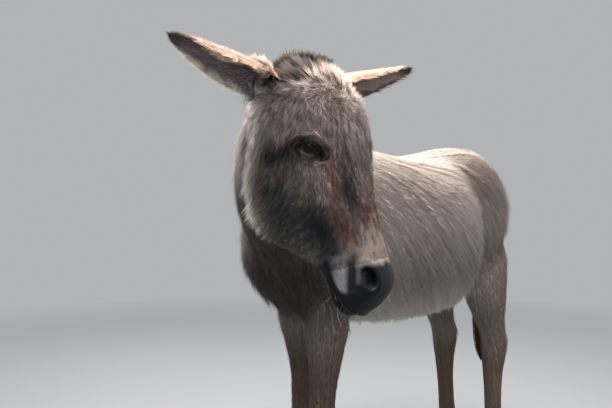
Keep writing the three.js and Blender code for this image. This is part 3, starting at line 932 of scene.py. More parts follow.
def hair_table(labels):
    """The row of HAIR for each label's node."""
    rows = np.array([next(v for k, v in HAIR.items() if node.startswith(k)) for node in FLESH], float)
    return rows[labels]


EAR_HALF_WIDTHS = ((0, 0.42, 0.68, 0.88, 1), (29, 31, 25, 17, 9))  # shares of an ear's length, and mm


def ear_width(q):
    """Half the width of an ear at the places q along it."""
    return np.interp(q[:, 0] / EAR_LENGTH, *EAR_HALF_WIDTHS)


def ear_edge(points, name):
    """How near each point is to the lower and the upper lip of an ear's slit, from 0 to 1."""
    q, _ = in_ear(points, name)
    near = ramp(q[:, 2], -6, 4)
    share = q[:, 1] / ear_width(q)
    return near * ramp(-share, 0.1, 0.7), near * ramp(share, 0.1, 0.7)


JAW_EDGE = (-142, 24)  # height of the lower edge of the jaw out of the forehead's plane, and its breadth
FORELOCK_CLEAR = (0.013, 0.006)  # metres from the forelock's outline within which the coat gives way to it


def face_fields(table, surface, labels, p):
    """Hair of the head: short towards the nose, long on brow and jaw, and none in the forelock."""
    head = kinds_of(labels, "head")
    _, y, z = p.T
    face = head * ramp(y, 215, 345)
    jaw = head * hump(z, *JAW_EDGE)
    brow = head * ramp(y, 135, 70) * ramp(z, 0, 40)
    foot = head * forelock_foot(p)
    table[:, LENGTH] *= (1 - 0.6 * face) * (1 - 0.35 * head * ramp(z, 30, 80) * ramp(y, 150, 240))
    table[:, LENGTH] *= (1 + 0.8 * jaw) * (1 + 0.3 * brow) * (1 + 0.5 * foot)
    table[:, WIDTH] *= 1 - 0.3 * face
    table[:, COUNT] *= 1 + 0.8 * face
    table[:, COUNT] *= 1 - head * ramp(distance_to(surface.points, "forelock", 0.04), *FORELOCK_CLEAR)
    table[:, RISE] *= (1 - 0.4 * face) * (1 + 0.9 * brow + 0.3 * jaw)
    table[:, LOCK] *= 1 + 0.5 * brow
    table[:, STRAY] *= (1 + 1.6 * brow) * (1 - 0.5 * foot)
    table[:, TONE] *= (1 - 0.5 * face) * (1 + 0.25 * brow)


def eye_fields(table, p):
    """Hair that shortens and thickens towards the lids, and stops at their margin."""
    for side in SIDES.values():
        eye = Eye(side)
        local, a, b, _ = eye.near(p)
        gap = eye.gap(a, b)
        close = ramp(gap, 26, 5)
        table[local, LENGTH] *= 1 - (0.72 - 0.25 * ramp(b, 8, 20)) * close
        table[local, WIDTH] *= 1 - 0.3 * ramp(gap, 22, 5)
        table[local, COUNT] = np.where(gap < 2.0, 0, table[local, COUNT] * (1 + 0.9 * close))


def ear_fields(table, surface, labels):
    """Fringes on the lips of each ear's slit, and wilder hair at its base."""
    for name in SIDES:
        low, high = ear_edge(surface.points, name)
        ear = kinds_of(labels, "ear_" + name)
        q, _ = in_ear(surface.points, name)
        base = ear * ramp(q[:, 0], 75, 45)
        table[:, LENGTH] *= 1 + ear * (0.5 * low + 0.2 * high) + 1.2 * base
        table[:, RISE] *= 1 + ear * 0.9 * low + 0.6 * base
        table[:, STRAY] *= 1 + ear * 1.0 * low + 2.0 * base


def hair_fields(surface, labels):
    """Every number of HAIR at every point of the skin, varied by place and eased over the borders."""
    table = surface.spread(hair_table(labels), 14)
    table = eased(surface, table, 40, join_share(surface, labels))
    _, y, z = surface.points.T
    p = in_head(surface.points)
    trunk = kinds_of(labels, "trunk")
    cannon = kinds_of(labels, "foreleg", "hindleg")
    table[:, LENGTH] *= np.where(trunk, 1 - 0.3 * ramp(z, 0.9, 1.04) + 0.35 * ramp(z, 0.72, 0.6), 1)
    table[:, LENGTH] *= np.where(trunk, 1 - 0.3 * ramp(y, 0.55, 0.68), 1)
    table[:, LENGTH] *= 1 + cannon * 0.9 * ramp(z, 0.11, 0.07)  # feather over the hooves
    face_fields(table, surface, labels, p)
    eye_fields(table, p)
    ear_fields(table, surface, labels)
    bare = table[:, COUNT] == 0
    table = surface.spread(table, 4)
    table[bare, COUNT] = 0
    return table


WHORL = (0.0, 96.0, 84.0)  # middle of the forehead, where the hair parts
NECK_LIE = (-0.35, 0.55, -0.85)
LEG_LIE = (0, 0.12, -1)


def lie_of_face(p):
    """The way the face's hair lies, in the head's frame: down and back, and out from the whorl."""
    back = ramp(p[:, 2], 45, -60) * (0.3 + 1.6 * ramp(p[:, 1], 165, 265))
    from_whorl = p - np.array(WHORL)
    away = unit(from_whorl) * (0.9 * np.exp(-np.linalg.norm(from_whorl, axis=1) / 90))[:, None]
    face = away + np.stack([0 * back, 0.75 + 0 * back, -back], 1)
    face[:, 1] -= 1.5 * ramp(p[:, 1], 85, 30)
    return face


def lie_of_coat(surface, labels, normals):
    """Unit vectors along the skin, the way the hair lies."""
    x, y, z = surface.points.T
    lie = np.zeros_like(surface.points)
    trunk = kinds_of(labels, "trunk")
    fall = 0.35 + 1.2 * ramp(z, 1.04, 0.84) + 0.6 * ramp(y, 0.42, 0.6) + 0.9 * ramp(y, -0.14, -0.3)
    lie[trunk] = np.stack([0 * x, 1 + 0 * x, -fall], 1)[trunk]
    lie[kinds_of(labels, "neck")] = unit(NECK_LIE)
    head = kinds_of(labels, *FACE)
    lie[head] = (lie_of_face(in_head(surface.points)) @ HEAD_AXES)[head]
    for name in SIDES:
        ear = kinds_of(labels, "ear_" + name)
        low, high = (edge[:, None] for edge in ear_edge(surface.points[ear], name))
        _, (aim, across, opening) = in_ear(surface.points[:1], name)
        lie[ear] = aim + 0.9 * low * (opening * 0.5 - across) + 0.4 * high * (opening + across)
    lie[kinds_of(labels, *LEGS, "tail")] = LEG_LIE
    for _ in range(8):
        lie = across_skin(surface.spread(lie, 4), normals)
    return lie


def scatter(surface, count, rng):
    """Random roots: a triangle and the weights of its corners. count is for each cm2, by triangle."""
    area = np.linalg.norm(surface.face_normals(), axis=1) / 2
    reached = np.cumsum(count * 1e4 * area)
    wanted = np.arange(int(reached[-1])) + rng.random(int(reached[-1]))
    chosen = np.minimum(np.searchsorted(reached, wanted), len(area) - 1)
    a, b = rng.random((2, len(chosen)))
    flip = a + b > 1
    a[flip], b[flip] = 1 - a[flip], 1 - b[flip]
    return chosen, np.stack([1 - a - b, a, b], 1)


def at_roots(values, tri, weights):
    """Values of the skin's points at roots, from the corners of each root's triangle."""
    return (values[tri] * weights[:, :, None]).sum(1)


class Flow:
    """The lie of the coat, averaged in cells of space, so that it can be followed both ways from any root."""

    def __init__(self, points, lie, cell):
        self.cell = cell
        self.low = points.min(0) - cell
        self.size = ((points.max(0) - self.low) / cell).astype(int) + 2
        key = self.keys(points)
        self.lie = np.stack([np.bincount(key, lie[:, k], self.size.prod()) for k in range(3)], 1)

    def keys(self, points):
        """The number of the cell that each point is in."""
        c = np.clip(((points - self.low) / self.cell).astype(int), 0, self.size - 1)
        return (c[:, 0] * self.size[1] + c[:, 1]) * self.size[2] + c[:, 2]

    def streaks(self, points, lie, width, reach, seed, steps=4):
        """Smooth random values, drawn out along the lie: reach metres each way, and about width across."""
        total = soft_noise(points, width, seed)
        for way in (-1, 1):
            at, ahead = points, lie * way
            for _ in range(steps):
                at = at + ahead * (reach / steps)
                total += soft_noise(at, width, seed)
                met = self.lie[self.keys(at)]
                known = np.linalg.norm(met, axis=1, keepdims=True) > 0.3
                ahead = np.where(known, unit(met) * way, ahead)
        return total / max(total.std(), 1e-6)


def strand_faces(rings):
    """Faces of a closed three-sided strand: rings of three points and a tip."""
    faces = [(0, 2, 1)]
    for a in range(0, 3 * rings - 3, 3):
        faces += [(a, a + 1, a + 4, a + 3), (a + 1, a + 2, a + 5, a + 4), (a + 2, a, a + 3, a + 5)]
    a = 3 * rings - 3
    return faces + [(a, a + 1, a + 3), (a + 1, a + 2, a + 3), (a + 2, a, a + 3)]


def strand_points(path, side, width):
    """Strands (n, 3 * rings + 1, 3) along paths (n, rings + 1, 3). side is across each strand."""
    rings = path.shape[1] - 1
    ahead = np.gradient(path, axis=1)
    points = np.empty((len(path), 3 * rings + 1, 3))
    for j in range(rings):
        half = (width * (0.5 - 0.2 * (j / rings) ** 2))[:, None]
        keel = unit(np.cross(side, ahead[:, j])) * half * 0.55
        for k, shift in enumerate((-side * half, keel, side * half)):
            points[:, 3 * j + k] = path[:, j] + shift
    points[:, -1] = path[:, -1]
    return points


def along_strand(rings):
    """How far along a strand each of its points is, from 0 at the root to 1 at the tip."""
    return np.append(np.repeat(np.arange(rings) / rings, 3), 1)


PATCH = 0.003  # size of a strand's patch on the bake map


def strand_patch(rings):
    """Where a strand's points lie in its patch. The keel is set back, to give the root width."""
    across = np.append(np.tile([0, 0.5, 1], rings), 0.5)
    back = np.append(np.tile([0, 0.12, 0], rings), 0)
    return (np.stack([across, along_strand(rings) - back], 1) - 0.5) * PATCH


def strayed(lie, normals, angle):
    """lie turned by angle about the normals."""
    across = np.cross(normals, lie)
    return unit(lie * np.cos(angle)[:, None] + across * np.sin(angle)[:, None])


def raised(tips, height):
    """Tips that would lie in the skin or too near it, moved out to their height above it."""
    out = tips.copy()
    for i, (tip, least) in enumerate(zip(tips.tolist(), height.tolist())):
        at, normal, _, _ = made["bare"].find_nearest(tip)
        above = (Vector(tip) - at).dot(normal)
        if above < least:
            out[i] += np.array(normal) * (least - above)
    return out


# How wide the coat's locks are and how far they run each way, in mm, by the start of a node's name.
LOCKS = (
    (("trunk", "neck"), 9, 60),
    ((*LEGS, "tail"), 6, 30),
    ((*FACE, "ear"), 6, 6),
)
ROOT_DEPTH = 1.0 * MM  # how deep a tuft's root lies in the skin
TONE_LIMITS = (0.4, 1.7)  # the darkest and palest that a tuft or hair can be, as shares of its colour
FLOW_CELL = 18 * MM  # cells in which the lie is averaged
# Sizes in metres, weights and seeds of the noises that make the tufts sway out of the coat's lie together.
SWAY = ((0.09, 1.0, 3), (0.03, 0.7, 4), (0.011, 0.7, 5))
LOCK_SEED = 21
FINE_SEED = 22


def lock_pattern(flow, owner, roots, lie, across):
    """For each tuft, the tone of its lock, a finer pattern, and how its lock rises across it."""
    lock, fine, slope = np.zeros((3, len(roots)))
    for words, width, reach in LOCKS:
        mine = kinds_of(owner, *words)
        at, ahead, beside = roots[mine], lie[mine], across[mine] * (0.4 * width * MM)
        lock[mine] = flow.streaks(at, ahead, width * MM, reach * MM, LOCK_SEED)
        fine[mine] = flow.streaks(at, ahead, 0.4 * width * MM, 0.5 * reach * MM, FINE_SEED)
        slope[mine] = flow.streaks(at + beside, ahead, width * MM, reach * MM, LOCK_SEED) - lock[mine]
    return lock, fine, slope


def grow_coat(surface, labels, settings):
    """Arrays of all tufts: points, colours, and where each is rooted."""
    rng = np.random.default_rng(settings.seed)
    normals = surface.normals()
    fields = hair_fields(surface, labels)
    lie_field = lie_of_coat(surface, labels, normals)
    chosen, weights = scatter(surface, fields[surface.triangles, COUNT].mean(1) * settings.fullness, rng)
    tri = surface.triangles[chosen]
    roots = at_roots(surface.points, tri, weights)
    normal = unit(at_roots(normals, tri, weights))
    lie = across_skin(at_roots(lie_field, tri, weights), normal)
    f = at_roots(fields, tri, weights).T
    n = len(roots)
    owner = labels[tri[:, 0]]
    flow = Flow(surface.points, lie_field, FLOW_CELL)
    lock, fine, slope = lock_pattern(flow, owner, roots, lie, np.cross(normal, lie))

    sway = sum(weight * soft_noise(roots, size, seed) for size, weight, seed in SWAY)
    angle = np.radians(f[STRAY]) * (0.25 * rng.normal(0, 1, n) + sway)
    own = strayed(lie, normal, angle)
    side = np.cross(normal, own)
    offset = np.clip(slope * 0.9, -0.5, 0.5) * f[DRAW] * f[LOCK] * MM
    length = f[LENGTH] * MM * rng.uniform(0.75, 1.15, n) * (1 + 0.07 * lock)
    width = f[WIDTH] * MM * rng.uniform(0.75, 1.2, n)
    rise = np.radians(f[RISE]) * (1 + 0.4 * f[DRAW] * lock + 0.1 * rng.normal(0, 1, n))
    rise = np.clip(rise, math.radians(4), math.radians(60))[:, None]
    path = np.empty((n, 2, 3))
    path[:, 0] = roots - normal * ROOT_DEPTH
    path[:, 1] = path[:, 0] + (own * np.cos(rise) + normal * np.sin(rise)) * length[:, None]
    path[:, 1] += side * offset[:, None]
    long = np.nonzero(kinds_of(owner, *LARGE))[0]
    path[long, 1] = raised(path[long, 1], (0.8 * length * np.sin(rise[:, 0]))[long])
    tone = 1 + f[TONE] * (0.6 * lock + 0.35 * fine + 0.45 * rng.normal(0, 1, n))
    tone += 0.05 * soft_noise(roots, 0.06, 9)
    # Each tuft is painted darker at its root, as shade deep in the coat, and paler at its tip.
    velvet = ramp(f[LENGTH], 12, 4)[:, None]  # short hair is less dark at its root
    shade = (0.6 + 0.32 * velvet) + (0.6 - 0.45 * velvet) * along_strand(1)
    colour = at_roots(made["coat_colour"], tri, weights)
    shades = colour[:, None] * np.clip(tone, *TONE_LIMITS)[:, None, None] * shade[:, :, None]
    return strand_points(path, side, width), shades, chosen, weights, owner


def corner_maps(surface, faces):
    """An unwrap of some of the skin's triangles, as one uv for each corner."""
    part = mesh_of("unwrap", surface.points, surface.triangles[faces], 3)
    ob = linked("unwrap", part)
    bpy.context.view_layer.objects.active = ob
    ob.select_set(True)
    part.uv_layers.new(name="OFBake")
    bpy.ops.object.mode_set(mode="EDIT")
    bpy.ops.mesh.select_all(action="SELECT")
    bpy.ops.uv.smart_project(angle_limit=math.radians(66), island_margin=0.004)
    bpy.ops.object.mode_set(mode="OBJECT")
    flat = np.empty(len(part.loops) * 2, np.float32)
    part.uv_layers["OFBake"].data.foreach_get("uv", flat)
    bpy.data.objects.remove(ob)
    bpy.data.meshes.remove(part)
    return flat.reshape(-1, 3, 2).astype(float)


def strand_mesh(name, points, shades, roots_uv):
    """One mesh of many strands, coloured, with each one's patch on the bake map."""
    n, stops = points.shape[:2]
    faces = strand_faces((stops - 1) // 3)
    base = np.concatenate([np.array(f) for f in faces])
    corners = (np.arange(n)[:, None] * stops + base).ravel()
    mesh = mesh_of(name, points.reshape(-1, 3), corners, np.tile([len(f) for f in faces], n))
    paint(mesh, shades.reshape(-1, 3))
    set_bake_map(mesh, roots_uv[:, None] + strand_patch((stops - 1) // 3)[base])
    return mesh


def root_maps(chosen, weights):
    """Where each root lies on an unwrap of the skin's triangles that it and the others stand on."""
    faces, back = np.unique(chosen, return_inverse=True)
    return (corner_maps(made["surface"], faces)[back] * weights[:, :, None]).sum(1)


def middle_maps(chosen):
    """Where roots in the middle of the chosen triangles lie on an unwrap of them."""
    return root_maps(chosen, np.full((len(chosen), 3), 1 / 3))


# The coat's pieces, with the starts of the names of the nodes that they grow on.
COAT_PIECES = {
    "coat_trunk": ("trunk",),
    "coat_neck": ("neck",),
    "coat_head": FACE,
    "coat_ears": ("ear",),
    "coat_legs": (*LEGS, "tail"),
}


class DONKEY_OT_coat(bpy.types.Operator):
    """The coat, as solid tufts that lie along the skin"""

    bl_idname = "donkey.coat"
    bl_label = "Coat"

    def execute(self, context):
        settings = context.scene.donkey_coat
        points, shades, chosen, weights, owner = grow_coat(made["roots"], made["labels"], settings)
        made["hair"] = hair_material()
        for name, words in COAT_PIECES.items():
            mine = np.nonzero(kinds_of(owner, *words))[0]
            backwards = points[mine, 0, 1] + 0.3 * points[mine, 0, 0]  # a little aslant
            mine = mine[np.argsort(backwards, kind="stable")]
            for k, group in enumerate(np.array_split(mine, math.ceil(len(mine) / PIECE_LIMIT))):
                uv = root_maps(chosen[group], weights[group])
                mesh = strand_mesh(f"{name}_{k + 1}", points[group], shades[group], uv)
                place(mesh, made["hair"])
        return {"FINISHED"}


# ---------------------------------------------------------------- mane, forelock and tail
# Stiff hair, in metres.
OUTLINE_REACH = 0.14  # how far from a root the outline is looked for
SHORTEST = 0.012  # hair that would be shorter is given the length FILL instead, so that no gap shows
FILL = 0.026


def reach_through(tree, start, aim, limit):
    """Distance from start along aim to the last surface met, or 0."""
    far, at = 0.0, 0.0
    while at < limit:
        hit = tree.ray_cast(Vector(start) + Vector(aim) * at, Vector(aim), limit - at)
        if hit[0] is None:
            break
        at += hit[3] + 0.1 * MM
        far = at
    return far


def standing_hair(node, margin, count, spread, bend, depth, settings):
    """Stiff hair from the skin under a CAD node out to that node's surface.

    margin is how near to the node the roots lie, count the hairs to a square centimetre, spread how much
    they fan out from the node's middle, bend how far they lean over as a share of their length, and depth
    the share of the mane's colour that they have.
    """
    rng = np.random.default_rng(settings.seed + len(node))
    surface = made["roots"]
    middles = surface.points[surface.triangles].mean(1)
    chosen, weights = scatter(surface, count * (distance_to(middles, node, margin) < margin * 0.99), rng)
    tri = surface.triangles[chosen]
    roots = at_roots(surface.points, tri, weights)
    n = len(roots)
    crest = unit(at_roots(surface.spread(surface.normals(), 12), tri, weights))
    fan = spread * (roots - middle(node))
    wild = 0.10 * np.stack([soft_noise(roots, 0.012, 40 + k) for k in range(3)], 1)
    wild += rng.normal(0, 0.05, (n, 3))
    aim = unit(crest + fan + wild)
    tree = search_tree(*node_arrays(node))
    reach = np.array([reach_through(tree, root, a, OUTLINE_REACH) for root, a in zip(roots, aim)])
    length = np.where(reach > SHORTEST, reach, FILL) * rng.uniform(0.75, 1.0, n)
    lean = unit(np.cross(aim, rng.normal(0, 1, (n, 3))))
    part = np.linspace(0, 1, 4)[None, :, None]
    path = roots[:, None] + (aim * length[:, None])[:, None] * part
    path[:, 0] -= aim * 3 * MM
    path += (lean * (bend * length)[:, None])[:, None] * part ** 2
    lock = soft_noise(roots, 0.009, 51)
    tone = np.clip(1 + 0.22 * lock + 0.14 * rng.normal(0, 1, n), *TONE_LIMITS)
    shade = 0.5 + 0.6 * along_strand(3) ** 1.2
    shades = depth * np.array(settings.mane) * tone[:, None, None] * shade[None, :, None]
    width = rng.uniform(0.9, 1.5, n) * MM
    points = strand_points(path, unit(np.cross(aim, lean)), width)
    mesh = strand_mesh(node + "_hair", points, shades, root_maps(chosen, weights))
    place(mesh, made["hair"], [node])


SAME_LEVEL = 2 * MM  # corners of the switch's outline that are nearer in height belong to one ring


def switch_rings():
    """Heights of the rings of the CAD switch, from the tip up, with each one's middle and half size."""
    outline, _ = node_arrays("tail_switch")
    levels = np.unique(np.round(outline[:, 2], 4))
    levels = levels[np.append(True, np.diff(levels) > SAME_LEVEL)]
    rings = [outline[np.abs(outline[:, 2] - z) < SAME_LEVEL] for z in levels]
    middles = np.array([(r.min(0) + r.max(0)) / 2 for r in rings])
    return levels, middles, np.array([np.ptp(r, axis=0) / 2 for r in rings])


def tail_hair(settings, count=1100, stops=8):
    """Long hair that hangs from the dock, filling the outline of the CAD switch at every height."""
    rng = np.random.default_rng(settings.seed + 5)
    levels, middles, halves = switch_rings()
    turn = rng.random(count) * 2 * math.pi
    share = np.sqrt(rng.random(count))  # of the outline's half size, even over its area
    top, low = levels[-1] + 18 * MM, levels[0]
    start = top - (top - low) * 0.35 * rng.random(count) ** 1.5
    end = low + (top - low) * 0.55 * rng.random(count) ** 2.2
    part = np.linspace(0, 1, stops)
    z = start[:, None] + (end - start)[:, None] * part
    ring = np.stack([np.cos(turn), np.sin(turn)], 1)
    lock = soft_noise(np.stack([ring[:, 0], ring[:, 1], share], 1), 0.35, 61)
    narrow = share[:, None] * (0.45 + 0.55 * ramp(part, 0, 0.4)) * (1 - 0.12 * lock[:, None] * part ** 2)
    waving = np.stack([z.ravel() * 8, np.repeat(turn, stops), np.repeat(share, stops)], 1)
    path = np.empty((count, stops, 3))
    for k in range(2):
        wave = 0.05 * soft_noise(waving, 0.5, 70 + k).reshape(z.shape)
        out = ring[:, None, k] * narrow + wave
        path[:, :, k] = np.interp(z, levels, middles[:, k]) + np.interp(z, levels, halves[:, k]) * out
    path[:, :, 2] = z
    tone = np.clip(1 + 0.25 * lock + 0.15 * rng.normal(0, 1, count), *TONE_LIMITS)
    shade = 0.6 + 0.5 * along_strand(stops - 1)
    shades = np.array(settings.mane) * 0.8 * tone[:, None, None] * shade[None, :, None]
    side = np.stack([-ring[:, 1], ring[:, 0], np.zeros(count)], 1)
    points = strand_points(path, side, rng.uniform(1.0, 1.8, count) * MM)
    tree = search_tree(made["roots"].points, made["roots"].triangles)
    chosen = np.array([tree.find_nearest(q)[2] for q in path[:, 0].tolist()])
    mesh = strand_mesh("tail_switch_hair", points, shades, middle_maps(chosen))
    place(mesh, made["hair"], ["tail_switch"])


class DONKEY_OT_mane(bpy.types.Operator):
    """Stiff mane and forelock, and the switch of the tail"""

    bl_idname = "donkey.mane"
    bl_label = "Mane and tail"

    def execute(self, context):
        settings = context.scene.donkey_coat
        standing_hair("mane", 16 * MM, 16, spread=0.0, bend=0.08, depth=1.0, settings=settings)
        standing_hair("forelock", 13 * MM, 44, spread=9.0, bend=0.16, depth=0.65, settings=settings)
        tail_hair(settings)
        return {"FINISHED"}


# ---------------------------------------------------------------- eyes and lids
# Distances of the lids' rows from the margin, in mm: out over the outside, and back on the inside.
LID_STEPS = (-2.2, -1.2, -0.4, 0.4, 1.2, 2.2, 3.4, 4.6, 5.8, 6.8, 7.6, 8.6, 9.8, 11.2, 12.6, 14.2, LID_REACH)
LID_BACKS = (LID_REACH, 11.0, 5.0, 1.0, -2.2)
LID_THICKNESS = 4.0
SEEN_FROM = 60.0  # mm outward from the middle of the eye, where rays to the skin start
LID_BURIED = 3.5  # how far the lids' outer edge lies under the skin


def fanned(directions, rounds):
    """Directions round a ring, each drawn towards its neighbours', so that none cross further out."""
    for _ in range(rounds):
        directions = unit(directions + 0.5 * (np.roll(directions, 1, 0) + np.roll(directions, -1, 0)))
    return directions


def skin_height(eye, a, b):
    """Height of the skin over the middle of the eye, in mm."""
    inward = Vector(-(eye.outward @ HEAD_AXES))
    starts = from_head(eye.solid(a, b, np.full(len(a), SEEN_FROM)))
    return np.array([SEEN_FROM - made["bare"].ray_cast(Vector(q), inward, 0.12)[3] / MM for q in starts])


def lid_colours(eye, points, gaps):
    """Dark bare skin at the margin, and the coat's colour further out."""
    surface = made["surface"]
    tree = kdtree.KDTree(len(surface.points))
    for k, q in enumerate(surface.points.tolist()):
        tree.insert(q, k)
    tree.balance()
    near = np.array([tree.find(q)[1] for q in points.tolist()])
    a, _, _ = eye.flat(in_head(points))
    haired = gaps - 5.0 * ramp(np.abs(a), 12, 26) + 2.0 * soft_noise(points, 0.005, 35)
    return mixed(made["coat_colour"][near] * 0.5, "0a090b", 1 - ramp(haired, 2.5, 7.0))


def lid_mesh(name, side):
    """Both lids of an eye as one closed ring: margin, crease and fold, buried at its outer edge."""
    eye = Eye(side)
    edge = np.roll(eye.margin, -1, 0) - np.roll(eye.margin, 1, 0)
    away = unit(np.stack([edge[:, 1], -edge[:, 0]], 1))
    n = len(away)
    rows = []
    for k, gap in enumerate(LID_STEPS + LID_BACKS):
        a, b = (eye.margin + fanned(away, round(3 + 2.0 * max(gap, 0))) * gap).T
        height = lid_height(a, b, np.full(n, gap), skin_height(eye, a, b))
        height -= LID_BURIED * ramp(gap, 13.5, LID_REACH)
        if k >= len(LID_STEPS):
            height -= LID_THICKNESS
        rows.append(eye.solid(a, b, height))
    count = len(rows)
    i, j = np.meshgrid(np.arange(count), np.arange(n), indexing="ij")
    after, turn = (i + 1) % count, (j + 1) % n
    quads = np.stack([i * n + j, after * n + j, after * n + turn, i * n + turn], -1).reshape(-1, 4)
    points = from_head(np.concatenate(rows))
    colours = lid_colours(eye, points, np.repeat(LID_STEPS + LID_BACKS, n))
    return mesh_of(name, points, quads, 4), colours


def outward_faces(mesh):
    """Turns a closed mesh the right way out."""
    bm = bmesh.new()
    bm.from_mesh(mesh)
    if bm.calc_volume(signed=True) < 0:
        bmesh.ops.reverse_faces(bm, faces=bm.faces)
    bm.to_mesh(mesh)
    bm.free()


EYEBALL = 21.6  # mm, the radius
CORNEA_HALF = math.radians(46)
CORNEA_RISE = 1.4  # mm that the cornea stands out of the ball


def eyeball_mesh(name, side, turns=64, rings=48):
    """A ball with a bulging cornea. Its gaze attribute is each point's place on the cornea, along and up."""
    eye = Eye(side)
    polar = np.linspace(0, math.pi, rings + 1)[1:-1]
    turn = np.arange(turns) / turns * 2 * math.pi
    pole, around = np.meshgrid(polar, turn, indexing="ij")
    pole, around = np.append(pole.ravel(), [0, math.pi]), np.append(around.ravel(), [0, 0])
    radius = EYEBALL + CORNEA_RISE * np.maximum(0, 1 - (pole / CORNEA_HALF) ** 2) ** 1.5
    a = radius * np.sin(pole) * np.cos(around)
    b = radius * np.sin(pole) * np.sin(around)
    points = from_head(eye.solid(a, b, radius * np.cos(pole)))
    front, back = len(points) - 2, len(points) - 1
    faces, sizes = [], []
    for j in range(turns):
        after = (j + 1) % turns
        faces += [front, j, after]
        for i in range(rings - 2):
            faces += [i * turns + j, (i + 1) * turns + j, (i + 1) * turns + after, i * turns + after]
        faces += [back, (rings - 2) * turns + after, (rings - 2) * turns + j]
        sizes += [3] + [4] * (rings - 2) + [3]
    mesh = mesh_of(name, points, faces, sizes)
    directions = np.stack([np.cos(around), np.sin(around), 0 * around], 1)
    set_vectors(mesh, "gaze", directions * (pole / CORNEA_HALF)[:, None])
    return mesh


class DONKEY_OT_eyes(bpy.types.Operator):
    """Eyeballs with bulging corneas, and the lids round them"""

    bl_idname = "donkey.eyes"
    bl_label = "Eyes and lids"

    def execute(self, context):
        wet, bare = eye_material(), lid_material()
        for name, side in SIDES.items():
            ball = eyeball_mesh("eyeball_" + name, side)
            outward_faces(ball)
            place(ball, wet, ["eye_" + name])
            lids, colours = lid_mesh("lids_" + name, side)
            outward_faces(lids)
            paint(lids, colours)
            place(lids, bare)
        return {"FINISHED"}


# ---------------------------------------------------------------- lashes and whiskers
BRISTLE_INPUTS = (
    ("Geometry", "NodeSocketGeometry", None),
    ("Length", "NodeSocketFloat", 0.03),
    ("Thickness", "NodeSocketFloat", 0.0004),
    ("Bend", "NodeSocketFloat", 0.3),
    ("Seed", "NodeSocketInt", 1),
    ("Material", "NodeSocketMaterial", None),
)
BRISTLE_STOPS = 5  # steps along a bristle
BRISTLE_SIDES = 4
BRISTLE_TIP = 0.08  # thickness at the tip, as a share
BRISTLE_SIZES = {2: 0.6, 3: 1.1}  # the smallest and largest share of the length asked for


def bristle_tree():
    """Geometry nodes that stand a bent, tapering bristle on each point, along the point's own aim."""
    tree = bpy.data.node_groups.new("bristles", "GeometryNodeTree")
    tree.interface.new_socket("Geometry", in_out="OUTPUT", socket_type="NodeSocketGeometry")
    for label, kind, value in BRISTLE_INPUTS:
        socket = tree.interface.new_socket(label, in_out="INPUT", socket_type=kind)
        if value is not None:
            socket.default_value = value
    multiply = {"operation": "MULTIPLY"}
    asked = add_node(tree, "NodeGroupInput").outputs
    sideways = add_node(tree, "ShaderNodeMath", multiply, {0: asked["Bend"], 1: asked["Length"]})
    half = add_node(tree, "ShaderNodeMath", multiply, {0: asked["Length"], 1: 0.5})
    straight = add_node(tree, "ShaderNodeCombineXYZ", (), {"Z": half.outputs[0]})
    tip = add_node(tree, "ShaderNodeCombineXYZ", (), {"X": sideways.outputs[0], "Z": asked["Length"]})
    stem = add_node(tree, "GeometryNodeCurveQuadraticBezier", (), {
        "Resolution": BRISTLE_STOPS, "Start": (0, 0, 0), "Middle": straight.outputs[0], "End": tip.outputs[0],
    })
    part = add_node(tree, "GeometryNodeSplineParameter").outputs["Factor"]
    taper = add_node(tree, "ShaderNodeMapRange", (), {"Value": part, "To Min": 1.0, "To Max": BRISTLE_TIP})
    radius = add_node(tree, "ShaderNodeMath", multiply, {0: taper.outputs["Result"], 1: asked["Thickness"]})
    thin = add_node(tree, "GeometryNodeSetCurveRadius", (), {
        "Curve": stem.outputs[0], "Radius": radius.outputs[0],
    })
    outline = add_node(tree, "GeometryNodeCurvePrimitiveCircle", {"mode": "RADIUS"}, {
        "Resolution": BRISTLE_SIDES, "Radius": 0.5,
    })
    solid = add_node(tree, "GeometryNodeCurveToMesh", (), {
        "Curve": thin.outputs[0], "Profile Curve": outline.outputs[0], "Fill Caps": True,
    })
    if "Scale" in solid.inputs:
        set_inputs(tree, solid, {"Scale": radius.outputs[0]})
    aim = add_node(tree, "GeometryNodeInputNamedAttribute", {"data_type": "FLOAT_VECTOR"}, {"Name": "aim"})
    turned = add_node(
        tree, "FunctionNodeAlignRotationToVector", {"axis": "Z"}, {"Vector": aim.outputs["Attribute"]},
    )
    size = add_node(
        tree, "FunctionNodeRandomValue", {"data_type": "FLOAT"}, {"Seed": asked["Seed"], **BRISTLE_SIZES},
    )
    copies = add_node(tree, "GeometryNodeInstanceOnPoints", (), {
        "Points": asked["Geometry"], "Instance": solid.outputs[0],
        "Rotation": turned.outputs[0], "Scale": size.outputs[1],
    })
    joined = add_node(tree, "GeometryNodeRealizeInstances", (), {"Geometry": copies.outputs[0]})
    dressed = add_node(
        tree, "GeometryNodeSetMaterial", (), {"Geometry": joined.outputs[0], "Material": asked["Material"]},
    )
    add_node(tree, "NodeGroupOutput", (), {"Geometry": dressed.outputs[0]})
    return tree


def bristle_patches(result, chosen, each):
    """The uv of every corner of the bristles: each bristle's patch, round its root on the bake map."""
    vertex = np.empty(len(result.loops), np.int32)
    result.loops.foreach_get("vertex_index", vertex)
    inside_one = vertex % each
    around = (inside_one % BRISTLE_SIDES) / (BRISTLE_SIDES - 1)
    along = (inside_one // BRISTLE_SIDES) / max(each // BRISTLE_SIDES - 1, 1)
    patch = (np.stack([around, along * 0.9 + 0.1 * np.sin(np.pi * around)], 1) - 0.5) * PATCH
    return middle_maps(chosen)[vertex // each] + patch


